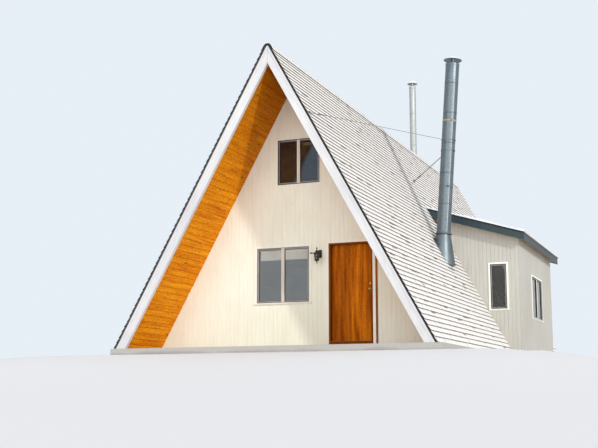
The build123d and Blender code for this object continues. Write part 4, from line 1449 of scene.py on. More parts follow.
@dataclass
class RoofCourses:
    """Shingle tabs laid over the courses of every slope.

    Attributes:
        tab: Width of a tab along the ridge.
        lip: How far a butt stands below its course.
        proud: How far a tab stands over the course under it.
        thick: Thickness of a butt.
        lap: How far a tab runs up under the next course.
        step: Rise of one course's wedge.
        end_margin: How far a row stands past the end of a slope.
    """

    tab: float = 0.305
    lip: float = 0.005
    proud: float = 0.0035
    thick: float = 0.009
    lap: float = 0.012
    step: float = 0.016
    end_margin: float = 0.002

    def tab_piece(self) -> Mesh:
        """One tab, 1 m wide before it is cut to its row, with its butt at X 0.

        Returns:
            The tab, with a map of how far down it each corner is.
        """
        fall = self.step / ROOF.exposure
        top = -(ROOF.exposure + self.lap)
        low = (self.lip, self.proud + self.lip * fall)
        high = (top, self.proud + top * fall)
        mesh = bar([low, (self.lip, low[1] - self.thick), (top, high[1] - self.thick), high], 0.0, 1.0)
        layer = mesh.uv_layers.new(name="tab")
        for loop in mesh.loops:
            x, y, _ = mesh.vertices[loop.vertex_index].co
            layer.data[loop.index].uv = (y, (x - top) / (self.lip - top))
        return mesh

    def rows(self, name: str, turn: Matrix, count: int, first: float, start: float, end: float, seed: int,
             origin: float = -8.2) -> None:
        """Rows of tabs over one stretch of a slope.

        Args:
            name: The piece's name.
            turn: Where the slope lies.
            count: How many rows.
            first: Run from the slope's top to the lowest butt.
            start: First end along the slope's own Y.
            end: Last end.
            seed: Seed of the random slips.
            origin: Where the tabs are counted from.
        """
        ROWS.run(name, SHINGLE, "shingles", turn=turn, Tab=self.tab_piece(), Rows=count,
                 Columns=int((end - origin) / self.tab) + 3, First_Row=first, Row_Pitch=ROOF.exposure,
                 Tab_Pitch=self.tab, Origin=origin, Start=start, End=end, Seed=seed)

    def build(self) -> None:
        """Lays every slope."""
        low, high = ROOF.front - self.end_margin, ROOF.back + self.end_margin
        bay_low, bay_high = BAY.ends
        bay_run = (ROOF.ridge - BAY.peak[1]) / math.sin(ROOF_PITCH)
        full = ROOF.courses(ROOF.cap_run)
        self.rows("shingle_tabs_left", ROOF.left(), full, ROOF.eave_run, low, high, 11)
        self.rows("shingle_tabs_right_front", ROOF.right(), full, ROOF.eave_run, low, bay_low, 12)
        self.rows("shingle_tabs_right_rear", ROOF.right(), full, ROOF.eave_run, bay_high, high, 13)
        first = ROOF.eave_run - ROOF.exposure * math.ceil((ROOF.eave_run - bay_run) / ROOF.exposure)
        short = int((bay_run - ROOF.cap_run - ROOF.course_least) / ROOF.exposure)
        self.rows("shingle_tabs_right_upper", ROOF.right(), short, first, bay_low, bay_high, 14)
        beside = int((ROOF.eave_run - (ROOF.ridge - BAY.soffit) / math.sin(ROOF_PITCH)) / ROOF.exposure)
        bay_front, bay_rear = BAY.walls
        self.rows("shingle_tabs_bay_front", ROOF.right(), beside, ROOF.eave_run, bay_low, bay_front, 16)
        self.rows("shingle_tabs_bay_rear", ROOF.right(), beside, ROOF.eave_run, bay_rear, bay_high, 17)
        pitch = math.radians(BAY.pitch)
        eave = (BAY.eave - BAY.peak[0]) / math.cos(pitch)
        turn = shift(BAY.peak[0], 0, BAY.peak[1]) @ turn_about("Y", BAY.pitch)
        self.rows("shingle_tabs_bay", turn, int((eave - 0.02) / ROOF.exposure), eave,
                  bay_low - self.end_margin, bay_high + self.end_margin, 15, bay_low - 0.2)


@dataclass
class RidgeShingles:
    """Bent shingles that lap along the rounded ridge cap.

    Attributes:
        inner: Radius of the metal cap's outside.
        thick: Thickness of a shingle.
        length: Length of a shingle along the ridge.
        pitch: How much of it shows.
        leg: How far down the slope a shingle reaches.
        bends: Steps round the bend.
        top: Height of the metal cap's outside on the centre line.
        ends: Where the row starts and ends.
        rise: How far a shingle's front end stands over the next one.
        clear: Gap between the metal cap and the shingles.
    """

    inner: float = 0.090
    thick: float = 0.006
    length: float = 0.24
    pitch: float = 0.2
    leg: float = 0.11
    bends: int = 8
    top: float = 6.3933
    ends: tuple[float, float] = (-7.925, 7.925)
    rise: float = 0.004
    clear: float = 0.0005

    def outline(self, radius: float, leg: float) -> list[tuple[float, float]]:
        """The bend and its legs, seen from the front.

        Args:
            radius: Radius of the bend.
            leg: Length of the legs.

        Returns:
            Corners from the left foot to the right one.
        """
        half = ROOF_PITCH
        center = self.top - self.inner
        turns = [-half + 2 * half * i / self.bends for i in range(self.bends + 1)]
        bend = [(radius * math.sin(turn), center + radius * math.cos(turn)) for turn in turns]
        fall = (leg * math.cos(half), -leg * math.sin(half))
        first = (bend[0][0] - fall[0], bend[0][1] + fall[1])
        last = (bend[-1][0] + fall[0], bend[-1][1] + fall[1])
        return [first, *bend, last]

    def shell(self, radius: float) -> list[tuple[float, float]]:
        """The outer line of a shingle followed by its inner one, back again."""
        return self.outline(radius + self.thick, self.leg) + list(reversed(self.outline(radius, self.leg)))

    def build(self) -> None:
        """Laps them from the rear to the front."""
        low = self.shell(self.inner + self.clear)
        high = self.shell(self.inner + self.clear + self.rise)
        count = len(low)
        verts = [(x, 0.0, z) for x, z in high] + [(x, self.length, z) for x, z in low]
        faces: list[tuple[int, ...]] = [(i, (i + 1) % count, (i + 1) % count + count, i + count)
                                        for i in range(count)]
        half = count // 2
        for base in (0, count):
            faces += [(base + i, base + i + 1, base + count - 2 - i, base + count - 1 - i)
                      for i in range(half - 1)]
        mesh = poly_mesh("ridge_shingle", verts, faces)
        layer = mesh.uv_layers.new(name="tab")
        for loop in mesh.loops:
            x, y, _ = mesh.vertices[loop.vertex_index].co
            layer.data[loop.index].uv = (x, 1 - y / self.length)
        start, end = self.ends
        LINES.run("ridge_shingles", SHINGLE, "shingles", Piece=mesh,
                  Count=int((end - start - self.length) / self.pitch) + 1, Start=(0.0, start, 0.0),
                  Step=(0.0, self.pitch, 0.0), Wobble=0.001, Seed=3)


@dataclass
class Boarding:
    """Grooved siding on the walls, and jointed boards under the roof and on the floors.

    Attributes:
        siding_pitch: Width of a siding board.
        siding_width: Width of its joint.
        siding_depth: Depth of its joint.
        board: Width of a ceiling board.
        joint: Width of the joint between ceiling boards.
        joint_depth: Depth of that joint.
        lining: Depth of the boards' face under the roof's face.
        reach: How far the cutting forms run past the boards.
        floor_board: Width of a floor board.
        floor_joint: Width of the joint between floor boards.
        siding_foot: Width of a siding joint's foot, as a share of its mouth.
        joint_foot: Half the width of a ceiling joint's foot.
        low_margin: Height over the lining's lowest edge without a joint.
        high_margin: Height under its highest edge without one.
    """

    siding_pitch: float = 0.1016
    siding_width: float = 0.010
    siding_depth: float = 0.006
    board: float = 0.14
    joint: float = 0.012
    joint_depth: float = 0.007
    lining: float = 0.221
    reach: float = 0.01
    floor_board: float = 0.12
    floor_joint: float = 0.004
    siding_foot: float = 0.55
    joint_foot: float = 0.0015
    low_margin: float = 0.01
    high_margin: float = 0.06

    def wall(self, node: str, facing: int) -> None:
        """Cuts upright grooves into a wall's outer face.

        Args:
            node: The wall's CAD node.
            facing: Which way the outer face looks, in degrees from the front.
        """
        low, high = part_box(node)
        half, depth = self.siding_width / 2, self.siding_depth
        axis = 1 if facing == 90 else 0
        face = low[1] if facing == 0 else high[1 - axis]
        first = math.ceil((low[axis] + half) / self.siding_pitch)
        last = math.floor((high[axis] - half) / self.siding_pitch)
        foot = half * self.siding_foot
        outline = [(-half, -self.reach), (half, -self.reach), (foot, depth), (-foot, depth)]
        groove = bar(outline, low[2] - self.reach, high[2] + self.reach, Along.Z)
        start, step = [0.0, 0.0, 0.0], [0.0, 0.0, 0.0]
        start[axis] = first * self.siding_pitch
        start[1 - axis] = face
        step[axis] = self.siding_pitch
        # The bay's walls take the darker paint, which is painted shade.
        paint = BAY_SHADED_PAINT if node.startswith("bay") else WALL_PAINT
        GROOVES.run(node + "_siding", paint, "siding", start=merged_copy(node), replaced=(node,),
                    Groove=moved(groove, turn_about("Z", facing)), Count=last - first + 1,
                    Start=tuple(start), Step=tuple(step))

    def lining_boards(self, node: str, left: bool) -> None:
        """Cuts the joints between the boards under a slope.

        Args:
            node: The lining's CAD node.
            left: Whether it is the left slope's.
        """
        low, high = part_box(node)
        half, depth = self.joint / 2, self.joint_depth
        foot = self.joint_foot
        outline = [(-half, -self.reach), (half, -self.reach), (foot, depth), (-foot, depth)]
        side = -1.0 if left else 1.0
        joint = moved(bar(outline, low[1] - self.reach, high[1] + self.reach),
                      Matrix.Rotation(side * ROOF_PITCH, 4, "Y"))
        rise = self.board * math.sin(ROOF_PITCH)
        first = math.ceil((low[2] + self.low_margin) / rise)
        last = math.floor((high[2] - self.high_margin) / rise)
        height = first * rise
        x = (ROOF.ridge - self.lining / math.cos(ROOF_PITCH) - height) / math.tan(ROOF_PITCH)
        GROOVES.run(node + "_jointed", SOFFIT_WOOD, "ceiling_boards", start=merged_copy(node),
                    replaced=(node,), Groove=joint, Count=last - first + 1, Start=(side * x, 0.0, height),
                    Step=(-side * rise / math.tan(ROOF_PITCH), 0.0, rise))

    def floor(self, node: str) -> None:
        """Cuts the joints between a floor's boards.

        Args:
            node: The floor's CAD node.
        """
        low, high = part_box(node)
        half = self.floor_joint / 2
        outline = [(-half, -half), (half, -half), (half, self.reach), (-half, self.reach)]
        groove = bar(outline, low[1] - self.reach, high[1] + self.reach)
        GROOVES.run(node + "_boards", FLOOR_WOOD, "floor_timber", start=merged_copy(node), replaced=(node,),
                    Groove=groove, Count=int((high[0] - low[0]) / self.floor_board - 0.5),
                    Start=(low[0] + self.floor_board, 0.0, high[2]), Step=(self.floor_board, 0.0, 0.0))

    def build(self) -> None:
        """Boards every wall, slope and floor."""
        for node in ("front_wall_left", "front_wall_right", "front_wall_gable", "bay_front_wall"):
            self.wall(node, 0)
        for node in ("rear_wall_lower", "rear_wall_gable", "bay_rear_wall"):
            self.wall(node, 180)
        self.wall("bay_side_wall", 90)
        self.lining_boards("ceiling_boards_left", True)
        for part in ("front", "upper", "rear"):
            self.lining_boards("ceiling_boards_right_" + part, False)
        for node in ("floor_deck", "loft_floor"):
            self.floor(node)


@dataclass(frozen=True)
class Opening:
    """One window.

    Attributes:
        middle: Its middle, on the wall's face.
        width: Outer width of its frame.
        height: Outer height of its frame.
        facing: Which way it looks, in degrees from the front.
        barred: Whether an upright bar parts it in two.
        trim: Width of the trim round it.
        silled: Whether it has a sill.
    """

    middle: Point
    width: float
    height: float
    facing: int = 0
    barred: bool = True
    trim: float = 0.045
    silled: bool = True

    def turn(self) -> Matrix:
        """Puts the window's own frame on its wall."""
        return shift(*self.middle) @ turn_about("Z", self.facing)


@dataclass
class Windows:
    """Metal windows: a frame, a sliding sash and a gasket for each pane, a painted bar, trim and sill.

    Attributes:
        face: Width of the frame's face, out of which the sash shows its part.
        bar: Width of the upright bar.
        lip: Width of the frame's outer lip.
        sash: Width of a sash's face.
        stand: How far the lip stands out of the wall.
        back: How far the frame reaches in.
        blind_span: Ends of the blind's slats along X.
        blind_depth: The blind's middle along Y.
        blind_foot: Height of its lowest slat.
        slats: How many slats it has.
        slat_pitch: Height from slat to slat.
    """

    face: float = 0.042
    bar: float = 0.070
    lip: float = 0.015
    sash: float = 0.020
    stand: float = 0.012
    back: float = -0.070
    blind_span: tuple[float, float] = (-0.84, 0.27)
    blind_depth: float = -6.318
    blind_foot: float = 2.094
    slats: int = 10
    slat_pitch: float = 0.0185

    def panes(self, window: Opening) -> list[tuple[float, float]]:
        """Left and right edge of each pane.

        Args:
            window: The window.

        Returns:
            The edges, from left to right.
        """
        side = window.width / 2 - self.face
        if window.barred:
            return [(-side, -self.bar / 2), (self.bar / 2, side)]
        return [(-side, side)]

    def frame(self, window: Opening) -> list[Mesh]:
        """The outer frame, with its lip and its recessed track.

        Args:
            window: The window.

        Returns:
            The meshes.
        """
        lip, face, stand, back = self.lip, self.face, self.stand, self.back
        profile = [(0, back), (0, stand - 0.002), (0.002, stand), (lip - 0.002, stand), (lip, stand - 0.002),
                   (lip, -0.006), (face, -0.006), (face, back)]
        return [mitred(window.width, window.height, profile)]

    def round_panes(self, window: Opening, profile: Outline, grow: float) -> list[Mesh]:
        """A mitred frame round each pane.

        Args:
            window: The window.
            profile: The frame's section.
            grow: How much wider and higher than the pane it is.

        Returns:
            A mesh for each pane.
        """
        height = window.height - 2 * self.face + grow
        return [moved(mitred(right - left + grow, height, profile), shift((left + right) / 2, 0, 0))
                for left, right in self.panes(window)]

    def sashes(self, window: Opening) -> list[Mesh]:
        """A sash round each pane.

        Args:
            window: The window.

        Returns:
            The meshes.
        """
        profile = [(0, -0.05), (0, 0.001), (0.002, 0.004), (self.sash - 0.005, 0.004), (self.sash, -0.003),
                   (self.sash, -0.05)]
        return self.round_panes(window, profile, 2 * self.sash)

    def gaskets(self, window: Opening) -> list[Mesh]:
        """A black gasket between each sash and its glass.

        Args:
            window: The window.

        Returns:
            The meshes.
        """
        profile = [(0, -0.021), (0, -0.012), (0.003, -0.010), (0.006, -0.014), (0.006, -0.021)]
        return self.round_panes(window, profile, 0.001)

    def bars(self, window: Opening) -> list[Mesh]:
        """The upright bar, with a groove right of its middle.

        Args:
            window: The window.

        Returns:
            The meshes.
        """
        if not window.barred:
            return []
        half, end = self.bar / 2, window.height / 2 - self.lip
        line = [(-half, self.back), (-half, 0.010), (0.002 - half, 0.012), (0.002, 0.012), (0.004, 0.004),
                (0.010, 0.004), (0.012, 0.009), (half - 0.002, 0.009), (half, 0.007), (half, self.back)]
        return [bar([(x, -out) for x, out in line], -end, end, Along.Z)]

    def trim(self, window: Opening) -> list[Mesh]:
        """Trim boards round the frame, and a sloped sill with a drip groove.

        Args:
            window: The window.

        Returns:
            The meshes.
        """
        wide, thick = window.trim, 0.006 + 0.22 * window.trim
        profile = [(0, -0.002), (0, thick - 0.003), (0.003, thick), (wide - 0.003, thick),
                   (wide, thick - 0.003), (wide, -0.002)]
        parts = [mitred(window.width + 2 * wide, window.height + 2 * wide, profile)]
        if window.silled:
            reach = window.width / 2 + wide + 0.012
            line = [(-0.002, 0.003), (0.036, -0.004), (0.040, -0.008), (0.040, -0.024), (0.034, -0.026),
                    (0.033, -0.020), (0.028, -0.020), (0.027, -0.026), (-0.002, -0.026)]
            sill = bar([(-out, z) for out, z in line], -reach, reach, Along.X)
            parts.append(moved(sill, shift(0, 0, -window.height / 2)))
        return parts

    def group(self, node: str, metal: Finish, *windows: Opening) -> None:
        """Builds the windows that one CAD node stands for.

        Args:
            node: The CAD node.
            metal: Finish of their frames.
            *windows: The windows.
        """
        for kind, finish, shapes in (("frame", metal, self.frame), ("sashes", SASH_METAL, self.sashes),
                                     ("gaskets", RUBBER, self.gaskets), ("bars", BAR_PAINT, self.bars),
                                     ("trim", CASING_PAINT, self.trim)):
            meshes = [moved(mesh, window.turn()) for window in windows for mesh in shapes(window)]
            if meshes:
                replaced = (node,) if kind == "frame" else ()
                place(f"{node}_{kind}", meshes, finish, "window_frame", replaced=replaced)

    def blind(self) -> None:
        """A slatted blind, drawn up to the lower window's head."""
        left, right = self.blind_span
        slat = bar([(-0.004, -0.010), (-0.0015, 0.0), (0.003, 0.010), (0.0035, 0.0098), (-0.0005, 0.0),
                    (-0.0032, -0.010)], left, right, Along.X)
        LINES.run("window_blind_slats", BLIND_PAINT, "window_frame", Piece=slat, Count=self.slats,
                  Start=(0.0, self.blind_depth, self.blind_foot), Step=(0.0, 0.0, self.slat_pitch),
                  Wobble=0.0006, Seed=5)
        front, back = self.blind_depth - 0.012, self.blind_depth + 0.012
        rails = [eased(block((left - 0.005, front, low), (right + 0.005, back, high)), 0.003)
                 for low, high in ((2.272, 2.292), (2.070, 2.083))]
        place("window_blind_rails", rails, BLIND_PAINT, "window_frame")

    def shade(self) -> None:
        """A short rolled shade behind the upper window's right pane."""
        roll = [((0.031 + 0.0001 * i) * math.cos(i * 0.3), (0.031 + 0.0001 * i) * math.sin(i * 0.3))
                for i in range(21)]
        place("upper_window_shade", [bar(roll, 0.165, 0.355, Along.X)], SHADE_CLOTH, "window_frame",
              turn=shift(0, -6.322, 4.596))

    def build(self) -> None:
        """Fills every window."""
        gable = {"trim": 0.022, "silled": False}
        upper = Opening((0.077, -GABLE_FACE, 4.2045), 0.978, 0.996, **gable)
        lower = Opening((-0.285, -GABLE_FACE, 1.735), 1.22, 1.19)
        rear = (Opening((0.0, GABLE_FACE, 1.75), 1.5, 1.22, 180),
                Opening((0.0, GABLE_FACE, 4.2045), 0.978, 0.996, 180, **gable))
        bay = (Opening((3.1295, BAY.walls[0], 1.936), 0.415, 1.14, barred=False),
               Opening((BAY.side, 1.99, 1.80), 1.5, 1.1, 90))
        self.group("upper_window", FRAME_METAL, upper)
        self.group("lower_window", GREY_FRAME, lower)
        self.group("rear_windows", GREY_FRAME, *rear)
        self.group("bay_windows", FRAME_METAL, *bay)
        self.blind()
        self.shade()


@dataclass
class DoorSet:
    """The front door's leaf, knobs, lock and hinges, its casing and its threshold.

    Attributes:
        knob: Middle of the knobs, across and up.
        bolt_rise: How far the bolt is above them.
        hinge_axis: The hinges' axis in X and Y.
        hinge_foot: Height of the lowest hinge's foot.
        hinge_step: Height from hinge to hinge.
        hinge_back: The plates' back along Y.
        sweep_top: Height of the sweep's top.
        strip_gap: Gap between the casing and the stained strip.
        strip_width: Width of that strip.
        strip_foot: Height of its foot.
        rib_span: Ends of the threshold's ribs along X.
        ribs: How many ribs there are.
        rib_pitch: Depth from rib to rib.
    """

    knob: tuple[float, float] = (1.653, 1.37)
    bolt_rise: float = 0.115
    hinge_axis: tuple[float, float] = (0.7961, -6.255)
    hinge_foot: float = 0.5
    hinge_step: float = 0.766
    hinge_back: float = -6.257
    sweep_top: float = 0.342
    strip_gap: float = 0.004
    strip_width: float = 0.040
    strip_foot: float = 0.16
    rib_span: tuple[float, float] = (0.800, 1.712)
    ribs: int = 7
    rib_pitch: float = 0.011

    def leaf(self) -> None:
        """A flush leaf with rounded edges, and a metal sweep at its foot inside."""
        low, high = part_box("front_door")
        place("front_door_leaf", [eased(block(low, high), 0.0025, 3)], DOOR_WOOD, "door_timber",
              replaced=("front_door",), body="door")
        sweep = block((low[0] + 0.03, high[1] - 0.001, low[2] + 0.004),
                      (high[0] - 0.03, high[1] + 0.004, self.sweep_top))
        place("door_sweep", [eased(sweep, 0.0015)], SASH_METAL, "dark_metal", body="door")

    def hardware(self) -> None:
        """Turned knobs on both faces, a lock outside and a thumb turn inside."""
        knob = [(0, 0.062), (0.009, 0.0614), (0.0175, 0.0585), (0.024, 0.053), (0.027, 0.046),
                (0.0264, 0.039), (0.022, 0.033), (0.015, 0.029), (0.0105, 0.025), (0.0095, 0.017),
                (0.012, 0.0125), (0.020, 0.0105), (0.029, 0.009), (0.0325, 0.006), (0.033, 0.0)]
        bolt = [(0, 0.0145), (0.009, 0.0145), (0.0115, 0.0135), (0.012, 0.0115), (0.018, 0.0105),
                (0.0225, 0.008), (0.024, 0.0)]
        low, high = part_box("front_door")
        parts = [moved(turned(shape, 40), shift(self.knob[0], y, self.knob[1] + rise) @ turn_about("X", tilt))
                 for y, tilt in ((low[1], 90), (high[1], -90))
                 for shape, rise in ((knob, 0.0), (bolt, self.bolt_rise))]
        x, z = self.knob[0], self.knob[1] + self.bolt_rise
        thumb = block((x - 0.004, high[1] + 0.013, z - 0.014), (x + 0.004, high[1] + 0.030, z + 0.014))
        keyway = block((x - 0.001, low[1] - 0.0155, z - 0.006), (x + 0.001, low[1] - 0.013, z + 0.006))
        parts += [eased(thumb, 0.0025), eased(keyway, 0.0004)]
        place("door_knob_set", parts, BRASS, "brass_hardware", replaced=("door_knobs",), body="door")

    def hinges(self) -> None:
        """Three butt hinges, each a plate on the jamb with its barrel and a plate on the leaf."""
        x, y = self.hinge_axis
        barrel = [(0.0, 0.0), (0.0042, 0.0)]
        for i in range(5):
            base = 0.02 * i
            barrel += [(0.005, base + 0.001), (0.005, base + 0.019), (0.0042, base + 0.0198)]
        barrel += [(0.0, 0.1)]

        def plate(low: float, high: float) -> list[Mesh]:
            """A plate with three screws.

            Args:
                low: Its left edge.
                high: Its right edge.

            Returns:
                The plate and the screws.
            """
            screw = [(0, 0.0014), (0.0028, 0.0012), (0.004, 0.0)]
            middle, inwards = (low + high) / 2, turn_about("X", -90)
            screws = [moved(turned(screw, 14), shift(middle, self.hinge_back, 0.02 + 0.03 * i) @ inwards)
                      for i in range(3)]
            sheet = block((low, self.hinge_back - 0.003, 0.0), (high, self.hinge_back, 0.1))
            return [eased(sheet, 0.0007), *screws]

        fixed = joined("hinge", [moved(turned(barrel, 20), shift(x, y, 0)), *plate(0.7611, 0.7911)])
        loose = joined("hinge_leaf", plate(0.8061, 0.8361))
        for name, piece, node, body in (("door_hinge_barrels", fixed, "door_hinges", "house"),
                                        ("door_hinge_plates", loose, "hinge_leaves", "door")):
            LINES.run(name, BRASS, "brass_hardware", replaced=(node,), body=body, Piece=piece, Count=3,
                      Start=(0.0, 0.0, self.hinge_foot), Step=(0.0, 0.0, self.hinge_step))

    def surround(self) -> None:
        """Casing boards, a stained strip beside them and a ribbed threshold."""
        low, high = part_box("door_casing")
        (inner, _, _), (outer, _, head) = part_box("door_frame")
        boards = [eased(block((low[0], low[1], low[2]), (inner, high[1], head - 0.001)), 0.003),
                  eased(block((outer, low[1], low[2]), (high[0], high[1], head - 0.001)), 0.003),
                  eased(block((low[0], low[1], head), high), 0.003)]
        place("door_casing_boards", boards, CASING_PAINT, "white_paint", replaced=("door_casing",))
        left = high[0] + self.strip_gap
        strip = block((left, -GABLE_FACE - 0.012, self.strip_foot),
                      (left + self.strip_width, -GABLE_FACE + 0.001, head))
        place("door_side_strip", [eased(strip, 0.003)], STRIP_WOOD, "door_timber")
        section = [(-0.003, -0.001), (-0.0015, 0.0025), (0.0015, 0.0025), (0.003, -0.001)]
        LINES.run("threshold_ribs", SASH_METAL, "dark_metal", Piece=bar(section, *self.rib_span, Along.X),
                  Count=self.ribs, Start=(0.0, -6.391, 0.294), Step=(0.0, self.rib_pitch, 0.0))

    def build(self) -> None:
        """Fits the whole door."""
        self.leaf()
        self.hardware()
        self.hinges()
        self.surround()


@dataclass
class Lantern:
    """The six-sided wall lantern beside the door.

    Attributes:
        foot: The lowest point of its axis.
        arm_height: Height of the backplate's middle.
        arm_radius: Radius of the bent arm.
        sides: Sides of its roof and cage.
    """

    foot: Point = (0.573, -6.595, 1.914)
    arm_height: float = 2.145
    arm_radius: float = 0.007
    sides: int = 6

    def body(self) -> list[Mesh]:
        """The flared roof, the finials and the cage's rings, on the lantern's own axis."""
        roof = [(0, 0.2165), (0.074, 0.2165), (0.078, 0.219), (0.078, 0.224), (0.068, 0.229), (0.055, 0.239),
                (0.043, 0.253), (0.034, 0.268), (0.026, 0.277), (0.017, 0.287), (0.008, 0.295), (0, 0.296)]
        ball = [(0, 0.290), (0.008, 0.292), (0.006, 0.303), (0.010, 0.311), (0.0138, 0.322),
                (0.0142, 0.330), (0.0115, 0.339), (0.006, 0.344), (0.0042, 0.348), (0.0055, 0.352),
                (0.003, 0.3565), (0, 0.358)]
        stem = [(0, 0.0), (0.004, 0.003), (0.0088, 0.014), (0.0068, 0.021), (0.0088, 0.030), (0.0086, 0.043),
                (0.015, 0.052), (0.030, 0.061), (0.043, 0.069), (0.0495, 0.077), (0.0495, 0.084), (0, 0.086)]
        low_ring = [(0.038, 0.084), (0.047, 0.084), (0.048, 0.093), (0.039, 0.093)]
        waist = [(0.047, 0.138), (0.0545, 0.138), (0.056, 0.150), (0.048, 0.150)]
        high_ring = [(0.053, 0.206), (0.062, 0.206), (0.063, 0.217), (0.054, 0.217)]
        hoops = [turned(line, self.sides, smooth=False, hollow=True) for line in (low_ring, waist, high_ring)]
        return [turned(roof, self.sides, smooth=False), turned(ball, 28), turned(stem, 28), *hoops]

    def mount(self) -> list[Mesh]:
        """The backplate with its raised panel and screws, and the bent arm."""
        def plate(width: float, height: float, round_by: float, start: float, end: float) -> Mesh:
            """A plate with rounded corners and edges.

            Args:
                width: Its width.
                height: Its height.
                round_by: Radius of its corners.
                start: Where its face is along Y.
                end: Where its back is along Y.

            Returns:
                The mesh.
            """
            line = [(cx * (width / 2 - round_by) + round_by * math.cos(turn),
                     cz * (height / 2 - round_by) + round_by * math.sin(turn))
                    for quarter, (cx, cz) in enumerate(((1, 1), (-1, 1), (-1, -1), (1, -1)))
                    for turn in (math.pi / 2 * (quarter + step / 7) for step in range(8))]
            return moved(eased(bar(line, start, end), 0.003), shift(self.foot[0], 0, self.arm_height))

        x, _, z = self.foot
        bend = ((-6.408, 0.200), (-6.440, 0.200), (-6.468, 0.204), (-6.492, 0.214), (-6.512, 0.228),
                (-6.534, 0.240), (-6.560, 0.248))
        arm = rod([(x, out, z + rise) for out, rise in bend], (self.arm_radius,) * len(bend), 14)
        boss = [(0, 0.012), (0.010, 0.012), (0.014, 0.008), (0.015, 0.0)]
        screw = [(0, 0.004), (0.004, 0.0035), (0.006, 0.0)]
        outwards = turn_about("X", 90)
        screws = [moved(turned(screw, 14), shift(x, -6.417, self.arm_height + rise) @ outwards)
                  for rise in (0.058, -0.062)]
        return [plate(0.084, 0.174, 0.028, -6.414, -6.400), plate(0.062, 0.150, 0.020, -6.418, -6.412), arm,
                moved(turned(boss, 24), shift(x, -6.416, z + 0.200) @ outwards), *screws]

    def build(self) -> None:
        """Fits the lantern."""
        turn = shift(*self.foot)
        place("lantern_body", [moved(part, turn) for part in self.body()] + self.mount(), LANTERN_METAL,
              "lantern_iron", replaced=("wall_lantern",))
        bars = rod([(0, 0, 0.085), (0.0155, 0, 0.216)], (0.0062, 0.0062), 8)
        RINGS.run("lantern_bars", LANTERN_METAL, "lantern_iron", turn=turn, Piece=bars, Count=self.sides,
                  Radius=0.0442)
        bead = [(0, -0.012), (0.007, -0.009), (0.010, -0.002), (0.008, 0.005), (0.004, 0.009), (0, 0.010)]
        RINGS.run("lantern_beads", LANTERN_METAL, "lantern_iron", turn=turn, Piece=turned(bead, 14),
                  Count=self.sides, Radius=0.046, Height=0.078)
        knob = [(0, 0.152), (0.010, 0.150), (0.0175, 0.142), (0.0195, 0.133), (0.0165, 0.124), (0.011, 0.118),
                (0.010, 0.112), (0.010, 0.060), (0, 0.060)]
        place("lantern_side_rod", [moved(turned(knob, 20), turn_about("Y", -90))], LANTERN_METAL,
              "lantern_iron", turn=turn @ shift(0, 0, 0.232))
        candle = [(0, 0.084), (0.011, 0.084), (0.011, 0.146), (0.009, 0.149), (0.005, 0.150), (0.008, 0.158),
                  (0.0095, 0.170), (0.0075, 0.184), (0.003, 0.196), (0, 0.199)]
        place("lantern_candle", [turned(candle, 24)], WAX, "white_paint", turn=turn)


